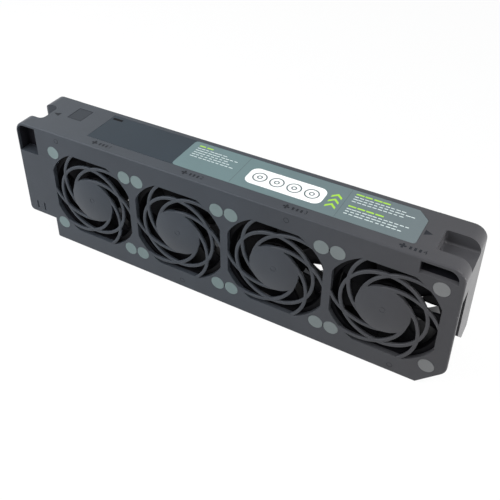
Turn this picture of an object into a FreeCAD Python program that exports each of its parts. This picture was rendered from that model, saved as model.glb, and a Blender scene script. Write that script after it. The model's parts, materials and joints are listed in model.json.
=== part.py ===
"""Hot-swap fan module: four axial fans in one long moulded case that drops into a chassis from above.

Frame: X runs along the case, Y from the front grilles to the rear outlets, Z up.
The origin is under the middle of the case, on the plane that the case stands on.
"""
import FreeCAD, Part
import math
import os
import Sketcher

Vector = FreeCAD.Vector
doc = FreeCAD.newDocument("fan_module")
sheet = doc.addObject("Spreadsheet::Sheet", "Sizes")
nodes = []


class Size:
    """A length or angle with its present value and the sheet expression that it comes from."""

    def __init__(self, value, text):
        self.value = value
        self.text = text

    def join(self, other, sign, value):
        other_text = other.text if isinstance(other, Size) else repr(other)
        return Size(value, f"({self.text} {sign} {other_text})")

    def __add__(self, other):
        return self.join(other, "+", self.value + number(other))

    def __sub__(self, other):
        return self.join(other, "-", self.value - number(other))

    def __mul__(self, other):
        return self.join(other, "*", self.value * number(other))

    def __truediv__(self, other):
        return self.join(other, "/", self.value / number(other))

    def __neg__(self):
        return Size(-self.value, f"(0 - {self.text})")


def number(size):
    return size.value if isinstance(size, Size) else size


def root(size):
    return Size(math.sqrt(size.value), f"sqrt({size.text})")


def cosine(angle):
    return Size(math.cos(math.radians(angle.value)), f"cos({angle.text} * 1 deg)")


def sine(angle):
    return Size(math.sin(math.radians(angle.value)), f"sin({angle.text} * 1 deg)")


def driving(name, value):
    """One driving dimension: a named cell of the sheet."""
    driving.row += 1
    sheet.set(f"A{driving.row}", name)
    sheet.set(f"B{driving.row}", str(value))
    sheet.setAlias(f"B{driving.row}", name)
    return Size(value, f"Sizes.{name}")


driving.row = 0
NONE = Size(0.0, "0")
DIAGONAL = math.sqrt(2)

# Case
length = driving("length", 432.4)
depth = driving("depth", 59.5)
height = driving("height", 128.0)
panel_wall = driving("panel_wall", 3.0)
case_wall = driving("case_wall", 2.5)
corner_round = driving("corner_round", 11.5)
edge_round = driving("edge_round", 1.5)
tab_width = driving("tab_width", 32.5)
tab_base = driving("tab_base", 23.0)
tab_round = driving("tab_round", 5.0)
foot_round = driving("foot_round", 2.0)
lower_cut = driving("lower_cut", 22.4)
lower_cut_round = driving("lower_cut_round", 12.0)
flange_overhang = driving("flange_overhang", 7.5)

# Row of fans
fan_count = 4
first_fan = driving("first_fan", 85.3)
fan_pitch = driving("fan_pitch", 96.6)
fan_height = driving("fan_height", 64.0)
fan_size = driving("fan_size", 92.0)
fan_depth = driving("fan_depth", 38.0)
hole_spacing = driving("hole_spacing", 82.5)

# Grille windows and guards
window_radius = driving("window_radius", 49.4)
window_flat = driving("window_flat", 44.6)
guard_rim = driving("guard_rim", 1.5)
guard_rim_width = driving("guard_rim_width", 3.1)
guard_clearance = driving("guard_clearance", 0.15)
guard_lap = driving("guard_lap", 1.0)
guard_depth = driving("guard_depth", 4.0)
guard_hub = driving("guard_hub", 22.6)
guard_ring = driving("guard_ring", 36.2)
rib_width = driving("rib_width", 3.7)
rib_bend = driving("rib_bend", 39.7)
rib_turn = driving("rib_turn", 1.0)
rib_inner_end = driving("rib_inner_end", 180.0)
rib_outer_end = driving("rib_outer_end", 66.0)
rib_count = 6

# Isolators
head_radius = driving("head_radius", 6.7)
head_depth = driving("head_depth", 1.5)
neck_radius = driving("neck_radius", 3.0)
collar_radius = driving("collar_radius", 5.5)
stem_radius = driving("stem_radius", 2.15)
stem_clearance = driving("stem_clearance", 0.05)
seat_clearance = driving("seat_clearance", 0.15)
bulb_radius = driving("bulb_radius", 3.2)
bulb_length = driving("bulb_length", 2.5)
tail_radius = driving("tail_radius", 1.5)
tail_length = driving("tail_length", 5.0)

# Grips at the two ends
grip_wall = driving("grip_wall", 3.0)
left_pocket_left = driving("left_pocket_left", 1.8)
left_pocket_width = driving("left_pocket_width", 22.3)
left_pocket_height = driving("left_pocket_height", 29.0)
pocket_depth = driving("pocket_depth", 13.0)
right_pocket_right = driving("right_pocket_right", 5.0)
right_pocket_width = driving("right_pocket_width", 29.5)
right_pocket_height = driving("right_pocket_height", 11.4)
sill_rise = driving("sill_rise", 7.5)
scoop_front = driving("scoop_front", 22.1)
scoop_back = driving("scoop_back", 44.4)
scoop_depth = driving("scoop_depth", 14.3)
scoop_bend = driving("scoop_bend", 20.2)
lip_round = driving("lip_round", 3.5)
left_scoop = driving("left_scoop", 19.0)
right_scoop = driving("right_scoop", 26.3)
scoop_corner = driving("scoop_corner", 3.0)
head_block = driving("head_block", 39.4)
head_drop = driving("head_drop", 16.0)
groove_back = driving("groove_back", 19.0)
groove_top = driving("groove_top", 96.3)
lead_in = driving("lead_in", 24.0)

# Tick marks on the tab
tick_left = driving("tick_left", 10.6)
tick_spacing = driving("tick_spacing", 9.0)
tick_width = driving("tick_width", 2.3)
tick_base = driving("tick_base", 28.6)
tick_height = driving("tick_height", 8.9)
tick_depth = driving("tick_depth", 0.8)

# Label recess on the top
recess_left = driving("recess_left", 78.0)
recess_length = driving("recess_length", 311.0)
recess_front = driving("recess_front", 12.7)
recess_back = driving("recess_back", 54.9)
recess_depth = driving("recess_depth", 0.5)
label_film = driving("label_film", 0.4)
blank_length = driving("blank_length", 92.4)
label_cut = driving("label_cut", 9.8)
label_round = driving("label_round", 3.0)

# Rear cover and bosses
roof_wall = driving("roof_wall", 3.0)
rear_wall = driving("rear_wall", 2.5)
outlet_radius = driving("outlet_radius", 44.0)
outlet_wall = driving("outlet_wall", 2.0)
boss_radius = driving("boss_radius", 4.0)
boss_inset = driving("boss_inset", 6.0)
screw_radius = driving("screw_radius", 1.5)
screw_depth = driving("screw_depth", 14.0)

# Fan frame and motor
flange_wall = driving("flange_wall", 4.0)
flange_round = driving("flange_round", 5.0)
barrel_radius = driving("barrel_radius", 45.4)
bore_radius = driving("bore_radius", 43.6)
inlet_flare = driving("inlet_flare", 1.6)
tip_clearance = driving("tip_clearance", 0.8)
hub_radius = driving("hub_radius", 21.5)
hub_front = driving("hub_front", 3.5)
hub_length = driving("hub_length", 25.5)
hub_wall = driving("hub_wall", 1.8)
hub_round = driving("hub_round", 2.5)
yoke_wall = driving("yoke_wall", 1.0)
magnet_wall = driving("magnet_wall", 2.2)
magnet_length = driving("magnet_length", 16.0)
air_gap = driving("air_gap", 0.5)
shaft_radius = driving("shaft_radius", 1.5)
shaft_length = driving("shaft_length", 29.0)
shaft_seat = driving("shaft_seat", 6.0)
press_clearance = driving("press_clearance", 0.1)
hub_boss = driving("hub_boss", 3.4)
hub_boss_length = driving("hub_boss_length", 5.5)
running_fit = driving("running_fit", 0.05)
bearing_radius = driving("bearing_radius", 4.0)
bearing_width = driving("bearing_width", 4.0)
tube_wall = driving("tube_wall", 0.9)
tube_step = driving("tube_step", 0.8)
tube_front = driving("tube_front", 12.5)
bearing_ledge = driving("bearing_ledge", 0.7)
rear_bearing = driving("rear_bearing", 30.5)
base_wall = driving("base_wall", 3.0)
base_gap = driving("base_gap", 0.5)
core_front = driving("core_front", 14.0)
core_length = driving("core_length", 9.0)
pole_count = 4
pole_width = driving("pole_width", 7.0)
core_hub = driving("core_hub", 7.6)
shoe_wall = driving("shoe_wall", 2.4)
slot_width = driving("slot_width", 2.4)
coil_width = driving("coil_width", 11.6)
coil_overhang = driving("coil_overhang", 1.6)
coil_clearance = driving("coil_clearance", 0.5)
board_wall = driving("board_wall", 1.6)
board_rise = driving("board_rise", 5.0)
board_seat = driving("board_seat", 8.0)
board_radius = driving("board_radius", 16.0)
vane_wall = driving("vane_wall", 1.8)
vane_front = driving("vane_front", 28.5)
vane_sweep = driving("vane_sweep", 7.0)
vane_bend = driving("vane_bend", 40.0)
vane_root = driving("vane_root", 1.0)
vane_clearance = driving("vane_clearance", 1.0)
vane_turn = driving("vane_turn", 19.0)
vane_count = 11
blade_count = 7
blade_wall = driving("blade_wall", 1.7)
blade_front = driving("blade_front", 5.5)
blade_back = driving("blade_back", 26.5)
root_height = driving("root_height", 14.0)
root_half = driving("root_half", 9.0)
root_bend = driving("root_bend", 24.0)
tip_half = driving("tip_half", 15.5)
tip_drop = driving("tip_drop", 3.5)
tip_bend = driving("tip_bend", 40.0)
rest_turns = [driving(f"rest_turn_{place}", turn) for place, turn in enumerate((0.0, 14.0, 35.0, 0.0), 1)]

# Connector bay
bay_base = driving("bay_base", 2.5)
bay_top = driving("bay_top", 93.0)
board_width = driving("board_width", 42.0)
board_height = driving("board_height", 58.0)
standoff = driving("standoff", 3.0)
standoff_radius = driving("standoff_radius", 2.5)
standoff_inset = driving("standoff_inset", 5.0)
plug_width = driving("plug_width", 30.0)
plug_thick = driving("plug_thick", 10.0)
plug_height = driving("plug_height", 14.0)
plug_clearance = driving("plug_clearance", 0.5)
plug_lift = driving("plug_lift", 0.5)
contact_count = 6
contact_pitch = driving("contact_pitch", 4.2)
contact_width = driving("contact_width", 2.2)
contact_depth = driving("contact_depth", 8.0)
header_width = driving("header_width", 12.5)
header_thick = driving("header_thick", 8.0)
header_height = driving("header_height", 6.0)
header_wall = driving("header_wall", 1.0)
header_pitch = driving("header_pitch", 9.5)
header_base = driving("header_base", 20.0)
wire_width = driving("wire_width", 20.0)
wire_height = driving("wire_height", 6.0)
wire_base = driving("wire_base", 84.0)
doc.recompute()

# Places worked out from the driving dimensions
left_end_x = -(length / 2)
right_end_x = length / 2
body_left = left_end_x + tab_width
body_right = right_end_x - flange_overhang
front_y = -(depth / 2)
fan_front = panel_wall + guard_rim
rear_inside = depth - rear_wall
roof_base = height - roof_wall
half_spacing = hole_spacing / 2
head_left = right_end_x - head_block
head_base = height - head_drop
cup_radius = hub_radius - hub_wall
yoke_outer = cup_radius - press_clearance
magnet_outer = yoke_outer - yoke_wall - press_clearance
core_radius = magnet_outer - magnet_wall - air_gap
bearing_seat = bearing_radius + press_clearance
tube_radius = bearing_seat + tube_wall
seat_radius = tube_radius + tube_step
base_back = fan_depth - base_gap
base_front = base_back - base_wall
board_back = base_front - board_rise
board_front = board_back - board_wall
tip_radius = bore_radius - tip_clearance
wall_front = hub_front + hub_wall
hub_back = hub_front + hub_length
core_back = core_front + core_length
core_middle = core_front + core_length / 2
motor_y = front_y + fan_front
bay_middle = (panel_wall + depth) / 2
board_x = body_left - standoff
plug_x = board_x - board_wall
board_base = tab_base + bay_base + plug_lift


def fan_x(index):
    return left_end_x + first_fan + fan_pitch * index


def origin_feature(body, role):
    return [feature for feature in body.Origin.OriginFeatures if feature.Role == role][0]


def new_body(label, x=NONE, y=NONE, z=NONE):
    """A sub-part whose local frame stands at (x, y, z)."""
    body = doc.addObject("PartDesign::Body", label)
    body.Label = label
    for axis, place in (("x", x), ("y", y), ("z", z)):
        body.setExpression(f"Placement.Base.{axis}", place.text)
    nodes.append(body)
    return body


def turn_about(item, place, axis, angle):
    """Turn an item's placement about an axis by a sheet angle."""
    turned_place = getattr(item, place)
    turned_place.Rotation = FreeCAD.Rotation(axis, angle.value)
    setattr(item, place, turned_place)
    item.setExpression(f"{place}.Rotation.Angle", angle.text)


def sketch_on(body, role, name, offset=NONE, across=NONE):
    """A sketch on one of the body's own planes, moved by offset along its normal and by across along it."""
    sketch = body.newObject("Sketcher::SketchObject", name)
    sketch.AttachmentSupport = [(origin_feature(body, role), "")]
    sketch.MapMode = "FlatFace"
    sketch.AttachmentOffset = FreeCAD.Placement(Vector(across.value, 0, offset.value), FreeCAD.Rotation())
    sketch.setExpression("AttachmentOffset.Base.x", across.text)
    sketch.setExpression("AttachmentOffset.Base.z", offset.text)
    return sketch


def constrain(sketch, kind, *args):
    """One dimension of a sketch, bound to the sheet."""
    size = args[-1]
    index = sketch.addConstraint(Sketcher.Constraint(kind, *args[:-1], size.value))
    sketch.setExpression(f"Constraints[{index}]", size.text)


def fix_point(sketch, item, point, place):
    across, up = place
    if across.text == "0":
        sketch.addConstraint(Sketcher.Constraint("PointOnObject", item, point, -2))
    else:
        constrain(sketch, "DistanceX", -1, 1, item, point, across)
    if up.text == "0":
        sketch.addConstraint(Sketcher.Constraint("PointOnObject", item, point, -1))
    else:
        constrain(sketch, "DistanceY", -1, 1, item, point, up)


def arc_between(start, end, radius, turn):
    """The short arc from start to end; turn is 1 for anticlockwise and -1 for clockwise."""
    a = Vector(start[0].value, start[1].value, 0)
    b = Vector(end[0].value, end[1].value, 0)
    half = (b - a) * 0.5
    rise = math.sqrt(max(radius.value ** 2 - half.Length ** 2, 0))
    side = Vector(-half.y, half.x, 0).normalize() * turn
    centre = a + half + side * rise
    first, last = (a, b) if turn > 0 else (b, a)
    first_angle = math.atan2(first.y - centre.y, first.x - centre.x)
    last_angle = math.atan2(last.y - centre.y, last.x - centre.x)
    circle = Part.Circle(centre, Vector(0, 0, 1), radius.value)
    return Part.ArcOfCircle(circle, first_angle, last_angle)


def outline(sketch, places, bends=None):
    """A closed outline through the places; bends holds radius and turn of the arc that leaves a place."""
    bends = bends or {}
    ends = []
    for index, start in enumerate(places):
        end = places[(index + 1) % len(places)]
        if index in bends:
            radius, turn = bends[index]
            item = sketch.addGeometry(arc_between(start, end, radius, turn), False)
            constrain(sketch, "Radius", item, radius)
            ends.append((item, 1, 2) if turn > 0 else (item, 2, 1))
        else:
            a = Vector(start[0].value, start[1].value, 0)
            b = Vector(end[0].value, end[1].value, 0)
            item = sketch.addGeometry(Part.LineSegment(a, b), False)
            ends.append((item, 1, 2))
        fix_point(sketch, item, ends[-1][1], start)
    for (item, _, last), (after, first, _) in zip(ends, ends[1:] + ends[:1]):
        sketch.addConstraint(Sketcher.Constraint("Coincident", item, last, after, first))


def rectangle(sketch, left, right, low, high):
    outline(sketch, [(left, low), (right, low), (right, high), (left, high)])


def circle(sketch, across, up, radius):
    centre = Vector(across.value, up.value, 0)
    item = sketch.addGeometry(Part.Circle(centre, Vector(0, 0, 1), radius.value), False)
    constrain(sketch, "Radius", item, radius)
    fix_point(sketch, item, 3, (across, up))


def clipped_circle(sketch, across, up, radius, flat):
    """A circle cut off by a square: the outline of a grille window."""
    half = root(radius * radius - flat * flat)
    corners = [(half, -flat), (flat, -half), (flat, half), (half, flat),
               (-half, flat), (-flat, half), (-flat, -half), (-half, -flat)]
    places = [(across + x, up + y) for x, y in corners]
    outline(sketch, places, {index: (radius, 1) for index in (0, 2, 4, 6)})


def feature(body, kind, name, sketch, **values):
    """A feature made from a sketch; values are sizes to bind or plain settings."""
    made = body.newObject(f"PartDesign::{kind}", name)
    made.Profile = sketch
    for key, value in values.items():
        if isinstance(value, Size):
            made.setExpression(key, value.text)
        else:
            setattr(made, key, value)
    body.Tip = made
    return made


def turned(body, kind, name, places, bends=None, across=NONE, offset=NONE):
    """A Revolution or Groove about the local Y axis, from (radius, along) places."""
    sketch = sketch_on(body, "XY_Plane", f"{name}_profile", offset, across)
    outline(sketch, places, bends)
    return feature(body, kind, name, sketch, ReferenceAxis=(sketch, ["V_Axis"]), Angle=360.0)


def ring_places(inner, outer, front, back):
    return [(inner, front), (outer, front), (outer, back), (inner, back)]


def polar(body, name, originals, count):
    made = body.newObject("PartDesign::PolarPattern", name)
    made.Originals = originals
    made.Axis = (origin_feature(body, "Y_Axis"), [""])
    made.Angle = 360.0
    made.Occurrences = count
    body.Tip = made
    return made


def row(body, name, originals, axis, span, count):
    made = body.newObject("PartDesign::LinearPattern", name)
    made.Originals = originals
    made.Direction = (origin_feature(body, axis), [""])
    made.setExpression("Length", span.text)
    made.Occurrences = count
    body.Tip = made
    return made


def round_edges(body, name, radius, chosen):
    """Fillet the edges of the body's tip that chosen(edge) picks."""
    doc.recompute()
    base = body.Tip
    picked = [f"Edge{i + 1}" for i, edge in enumerate(base.Shape.Edges) if chosen(edge)]
    made = body.newObject("PartDesign::Fillet", name)
    made.Base = (base, picked)
    made.setExpression("Radius", radius.text)
    body.Tip = made
    return made


def near(edge, **place):
    """True where the middle of an edge lies at the given x, y or z."""
    middle = edge.valueAt((edge.FirstParameter + edge.LastParameter) / 2)
    return all(abs(getattr(middle, axis) - size.value) < 0.01 for axis, size in place.items())


def along(edge, axis):
    if edge.Curve.TypeId != "Part::GeomLine":
        return False
    return abs(getattr(edge.Curve.Direction, axis)) > 0.999


def make_front_panel():
    """The flat front moulding: tab, step, cut corner, grille windows, isolator seats and grip mouths."""
    body = new_body("front_panel", y=front_y)
    plate = sketch_on(body, "XZ_Plane", "front_outline")
    places = [(body_left + foot_round, NONE), (right_end_x - lower_cut, NONE), (right_end_x, lower_cut),
              (right_end_x, height - corner_round), (right_end_x - corner_round, height),
              (left_end_x + corner_round, height), (left_end_x, height - corner_round),
              (left_end_x, tab_base + tab_round), (left_end_x + tab_round, tab_base),
              (body_left, tab_base), (body_left, foot_round)]
    bends = {3: (corner_round, 1), 5: (corner_round, 1), 7: (tab_round, 1), 10: (foot_round, 1)}
    outline(plate, places, bends)
    feature(body, "Pad", "front_plate", plate, Length=panel_wall, Reversed=True)
    round_edges(body, "cut_corner", lower_cut_round,
                lambda edge: along(edge, "y") and near(edge, x=right_end_x, z=lower_cut))
    round_edges(body, "front_edge", edge_round,
                lambda edge: near(edge, y=NONE))
    window = sketch_on(body, "XZ_Plane", "window_outline")
    clipped_circle(window, fan_x(0), fan_height, window_radius, window_flat)
    openings = [feature(body, "Pocket", "window", window, Type="ThroughAll")]
    rounds = (("isolator_seat", head_radius, head_depth), ("isolator_hole", neck_radius, panel_wall))
    for name, radius, cut in rounds:
        holes = sketch_on(body, "XZ_Plane", f"{name}_outline")
        for across in (-half_spacing, half_spacing):
            for up in (-half_spacing, half_spacing):
                circle(holes, fan_x(0) + across, fan_height + up, radius)
        openings.append(feature(body, "Pocket", name, holes, Length=cut))
    row(body, "fan_row", openings, "X_Axis", fan_pitch * (fan_count - 1), fan_count)
    for side, mouth in (("left", left_mouth()), ("right", right_mouth())):
        cut = sketch_on(body, "XZ_Plane", f"{side}_mouth_outline")
        outline(cut, *mouth)
        feature(body, "Pocket", f"{side}_mouth", cut, Type="ThroughAll")
    make_sill(body, NONE, panel_wall)
    ticks = sketch_on(body, "XZ_Plane", "tick_outline")
    for start in (tick_left, tick_left + tick_spacing):
        tick = left_end_x + start
        rectangle(ticks, tick, tick + tick_width, tick_base, tick_base + tick_height)
    feature(body, "Pocket", "ticks", ticks, Length=tick_depth)


def left_mouth():
    """Outline of the left grip pocket; its outer upper corner follows the corner of the case."""
    left = left_end_x + left_pocket_left
    right = left + left_pocket_width
    high = height - grip_wall
    low = high - left_pocket_height
    bend = corner_round - grip_wall
    places = [(left, low), (right, low), (right, high), (left + bend, high), (left, high - bend)]
    return places, {3: (bend, 1)}


def right_mouth():
    """Outline of the right grip pocket, mirrored in form and lower."""
    right = right_end_x - right_pocket_right
    left = right - right_pocket_width
    high = height - grip_wall
    low = high - right_pocket_height
    bend = corner_round - grip_wall
    places = [(left, low), (right, low), (right, high - bend), (right - bend, high), (left, high)]
    return places, {2: (bend, 1)}


def make_sill(body, front, back):
    """The ramp that leads from the lower edge of the right pocket up into its depth."""
    right = right_end_x - right_pocket_right
    low = height - grip_wall - right_pocket_height
    slope = sill_rise / pocket_depth
    sill = sketch_on(body, "YZ_Plane", "sill_outline", right - right_pocket_width)
    if front.text == "0":
        places = [(front, low), (back, low), (back, low + slope * back)]
    else:
        places = [(front, low), (back, low), (back, low + slope * back), (front, low + slope * front)]
    outline(sill, places)
    feature(body, "Pad", "sill", sill, Length=right_pocket_width)


def make_guard(index):
    """A swirl guard: hub, ring and tangential ribs inside a rim that the fan holds against the panel."""
    body = new_body(f"fan_guard_{index + 1}", fan_x(index), front_y, fan_height)
    hub = sketch_on(body, "XZ_Plane", "hub_outline")
    circle(hub, NONE, NONE, guard_hub)
    feature(body, "Pad", "hub", hub, Length=panel_wall, Reversed=True)
    ring = sketch_on(body, "XZ_Plane", "ring_outline")
    circle(ring, NONE, NONE, guard_ring - rib_width / 2)
    circle(ring, NONE, NONE, guard_ring + rib_width / 2)
    feature(body, "Pad", "ring", ring, Length=guard_depth, Reversed=True)
    inner = rib_bend - rib_width / 2
    outer = rib_bend + rib_width / 2
    offset = outer - guard_hub
    centre = (offset * cosine(rib_turn), offset * sine(rib_turn))
    ends = [(outer, rib_outer_end), (outer, rib_inner_end), (inner, rib_inner_end), (inner, rib_outer_end)]
    places = [(centre[0] + radius * cosine(angle), centre[1] + radius * sine(angle))
              for radius, angle in ends]
    rib = sketch_on(body, "XZ_Plane", "rib_outline")
    outline(rib, places, {0: (outer, 1), 2: (inner, -1)})
    first = feature(body, "Pad", "rib", rib, Length=guard_depth, Reversed=True)
    polar(body, "ribs", [first], rib_count)
    trim = sketch_on(body, "XZ_Plane", "trim_outline")
    rectangle(trim, -fan_size, fan_size, -fan_size, fan_size)
    clipped_circle(trim, NONE, NONE, window_radius - guard_clearance, window_flat - guard_clearance)
    feature(body, "Pocket", "trim", trim, Type="ThroughAll")
    rim = sketch_on(body, "XZ_Plane", "rim_outline", -panel_wall)
    clipped_circle(rim, NONE, NONE, window_radius + guard_rim_width, fan_size / 2)
    clipped_circle(rim, NONE, NONE, window_radius - guard_lap, window_flat - guard_lap)
    feature(body, "Pad", "rim", rim, Length=guard_rim, Reversed=True)


def make_isolators(index):
    """Four rubber isolators: a head in the panel, a collar under the fan, a bulb behind its flange."""
    body = new_body(f"isolators_{index + 1}", fan_x(index), front_y, fan_height)
    head = head_radius - seat_clearance
    neck = neck_radius - seat_clearance
    flange_back = fan_front + flange_wall
    bulb_back = flange_back + bulb_length
    tail_back = bulb_back + tail_length
    places = [(NONE, NONE), (head, NONE), (head, head_depth), (neck, head_depth), (neck, panel_wall),
              (collar_radius, panel_wall), (collar_radius, fan_front), (stem_radius, fan_front),
              (stem_radius, flange_back), (bulb_radius, flange_back), (tail_radius, bulb_back),
              (tail_radius, tail_back), (NONE, tail_back)]
    first = turned(body, "Revolution", "isolator", places, across=half_spacing, offset=half_spacing)
    polar(body, "isolators", [first], 4)


def case_outline(right_top, top):
    """The cross-section behind the panel: square at the left foot, cut off at the lower right corner."""
    cut_x = right_end_x - lower_cut
    return [(body_left, NONE), (cut_x, NONE), (body_right, lower_cut - flange_overhang),
            (body_right, right_top), (head_left, right_top), (head_left, top), (body_left, top)]


def boss_row(body, up):
    """Screw bosses between the fans, from the panel to the rear cover."""
    across = fan_x(0) + fan_pitch / 2
    boss = sketch_on(body, "XZ_Plane", "boss_outline", -panel_wall)
    circle(boss, across, up, boss_radius)
    pad = feature(body, "Pad", "boss", boss, Length=rear_inside - panel_wall, Reversed=True)
    hole = sketch_on(body, "XZ_Plane", "boss_hole_outline", -rear_inside)
    circle(hole, across, up, screw_radius)
    bore = feature(body, "Pocket", "boss_hole", hole, Length=screw_depth, Reversed=True)
    row(body, "bosses", [pad, bore], "X_Axis", fan_pitch * (fan_count - 2), fan_count - 1)


def make_top_cover():
    """The flat roof with the shallow label recess."""
    body = new_body("top_cover", y=front_y)
    roof = sketch_on(body, "XY_Plane", "roof_outline", roof_base)
    rectangle(roof, body_left, head_left, panel_wall, depth)
    feature(body, "Pad", "roof", roof, Length=roof_wall)
    recess = sketch_on(body, "XY_Plane", "recess_outline", height)
    left = left_end_x + recess_left
    label_outline(recess, left, left + recess_length, recess_front, recess_back, NONE)
    feature(body, "Pocket", "recess", recess, Length=recess_depth)
    boss_row(body, height - boss_inset)


def make_base_tray():
    """The tray under the fans, with two end walls, screw bosses and the connector board's standoffs."""
    body = new_body("base_tray", y=front_y)
    section = sketch_on(body, "XZ_Plane", "tray_outline", -panel_wall)
    cut_x = right_end_x - lower_cut
    slant = case_wall * DIAGONAL
    inner_right = body_right - case_wall
    cut_z = lower_cut - flange_overhang
    places = [(body_left, NONE), (cut_x, NONE), (body_right, cut_z), (body_right, head_base),
              (inner_right, head_base), (inner_right, cut_z + slant - case_wall),
              (cut_x - slant + case_wall, case_wall), (body_left + case_wall, case_wall),
              (body_left + case_wall, roof_base), (body_left, roof_base)]
    outline(section, places)
    feature(body, "Pad", "tray", section, Length=rear_inside - panel_wall, Reversed=True)
    boss_row(body, boss_inset)
    posts = sketch_on(body, "YZ_Plane", "standoff_outline", body_left)
    half = board_width / 2 - standoff_inset
    for along_y in (bay_middle - half, bay_middle + half):
        for up in (board_base + standoff_inset, board_base + board_height - standoff_inset):
            circle(posts, along_y, up, standoff_radius)
    feature(body, "Pad", "standoffs", posts, Length=standoff, Reversed=True)
    slot = sketch_on(body, "YZ_Plane", "wire_slot_outline", body_left + case_wall)
    half_wire = wire_width / 2
    rectangle(slot, bay_middle - half_wire, bay_middle + half_wire, wire_base, wire_base + wire_height)
    feature(body, "Pocket", "wire_slot", slot, Length=case_wall)


def make_rear_cover():
    """The rear wall with a collar round each outlet, from the wall to the back of the fan."""
    body = new_body("rear_cover", y=front_y)
    plate = sketch_on(body, "XZ_Plane", "rear_outline", -rear_inside)
    outline(plate, case_outline(head_base, roof_base))
    feature(body, "Pad", "rear_plate", plate, Length=rear_wall, Reversed=True)
    collar = sketch_on(body, "XZ_Plane", "collar_outline", -(fan_front + fan_depth))
    circle(collar, fan_x(0), fan_height, outlet_radius + outlet_wall)
    pad = feature(body, "Pad", "collar", collar, Length=rear_inside - fan_front - fan_depth, Reversed=True)
    outlet = sketch_on(body, "XZ_Plane", "outlet_outline")
    circle(outlet, fan_x(0), fan_height, outlet_radius)
    cut = feature(body, "Pocket", "outlet", outlet, Type="ThroughAll")
    row(body, "outlets", [pad, cut], "X_Axis", fan_pitch * (fan_count - 1), fan_count)
    holes = sketch_on(body, "XZ_Plane", "screw_outline")
    for up in (boss_inset, height - boss_inset):
        circle(holes, fan_x(0) + fan_pitch / 2, up, screw_radius)
    bore = feature(body, "Pocket", "screw_hole", holes, Type="ThroughAll")
    row(body, "screw_holes", [bore], "X_Axis", fan_pitch * (fan_count - 2), fan_count - 1)


def cut_scoop(body, inner, outward):
    """The thumb scoop in the roof of a grip, open at the end of the case, with a rounded lip."""
    scoop = sketch_on(body, "YZ_Plane", "scoop_outline", inner)
    above = height + scoop_depth
    places = [(scoop_front, above), (scoop_front, height), (scoop_back, height - scoop_depth),
              (scoop_back, above)]
    outline(scoop, places, {1: (scoop_bend, 1)})
    feature(body, "Pocket", "scoop", scoop, Type="ThroughAll", Reversed=outward)
    round_edges(body, "scoop_corner_round", scoop_corner,
                lambda edge: along(edge, "z") and near(edge, x=inner, y=scoop_back))
    round_edges(body, "scoop_lip", lip_round, lambda edge: near(edge, y=scoop_front))


def make_left_end():
    """The left grip: pocket behind the panel, scoop in the top and a bay for the connector board below."""
    body = new_body("left_end", y=front_y)
    block = sketch_on(body, "XZ_Plane", "block_outline", -panel_wall)
    places = [(left_end_x + tab_round, tab_base), (body_left, tab_base), (body_left, height),
              (left_end_x + corner_round, height), (left_end_x, height - corner_round),
              (left_end_x, tab_base + tab_round)]
    outline(block, places, {3: (corner_round, 1), 5: (tab_round, 1)})
    feature(body, "Pad", "block", block, Length=depth - panel_wall, Reversed=True)
    pocket = sketch_on(body, "XZ_Plane", "pocket_outline")
    outline(pocket, *left_mouth())
    feature(body, "Pocket", "pocket", pocket, Length=pocket_depth)
    cut_scoop(body, left_end_x + left_scoop, False)
    bay = sketch_on(body, "YZ_Plane", "bay_outline", body_left)
    rectangle(bay, panel_wall + case_wall, depth - case_wall, tab_base + bay_base, bay_top)
    feature(body, "Pocket", "bay", bay, Length=tab_width - case_wall)
    mouth = sketch_on(body, "XY_Plane", "plug_mouth_outline", tab_base + bay_base)
    half = plug_width / 2 + plug_clearance
    rectangle(mouth, plug_x - plug_thick - plug_clearance, plug_x + plug_clearance,
              bay_middle - half, bay_middle + half)
    feature(body, "Pocket", "plug_mouth", mouth, Length=bay_base)


def make_right_end():
    """The right grip head and the guide rail behind the panel's flange, with its lead-in."""
    body = new_body("right_end", y=front_y)
    head = sketch_on(body, "XZ_Plane", "head_outline", -panel_wall)
    places = [(head_left, head_base), (right_end_x, head_base), (right_end_x, height - corner_round),
              (right_end_x - corner_round, height), (head_left, height)]
    outline(head, places, {2: (corner_round, 1)})
    feature(body, "Pad", "head", head, Length=depth - panel_wall, Reversed=True)
    rail = sketch_on(body, "YZ_Plane", "rail_outline", body_right)
    places = [(panel_wall, groove_top), (groove_back, groove_top), (groove_back, tab_base + lead_in),
              (groove_back + lead_in, tab_base), (depth, tab_base), (depth, head_base),
              (panel_wall, head_base)]
    outline(rail, places)
    feature(body, "Pad", "rail", rail, Length=flange_overhang)
    pocket = sketch_on(body, "XZ_Plane", "pocket_outline")
    outline(pocket, *right_mouth())
    feature(body, "Pocket", "pocket", pocket, Length=pocket_depth)
    make_sill(body, panel_wall, pocket_depth)
    cut_scoop(body, right_end_x - right_scoop, True)


def label_outline(sketch, left, right, low, high, gap):
    """A label with a rounded lower and a cut upper right corner, inside the recess by the given gap."""
    bend = label_round - gap
    cut = label_cut - gap / 2
    places = [(left, low), (right - bend, low), (right, low + bend), (right, high - cut),
              (right - cut, high), (left, high)]
    outline(sketch, places, {1: (bend, 1)})


def make_labels():
    """Two thin films side by side in the recess of the roof."""
    left = left_end_x + recess_left
    middle = left + blank_length
    right = left + recess_length - seat_clearance
    low = recess_front + seat_clearance
    high = recess_back - seat_clearance
    blank = new_body("blank_label", y=front_y)
    film = sketch_on(blank, "XY_Plane", "blank_outline", height - recess_depth)
    rectangle(film, left + seat_clearance, middle - seat_clearance, low, high)
    feature(blank, "Pad", "blank_film", film, Length=label_film)
    label = new_body("instruction_label", y=front_y)
    film = sketch_on(label, "XY_Plane", "label_outline", height - recess_depth)
    label_outline(film, middle, right, low, high, seat_clearance)
    feature(label, "Pad", "label_film", film, Length=label_film)


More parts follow.
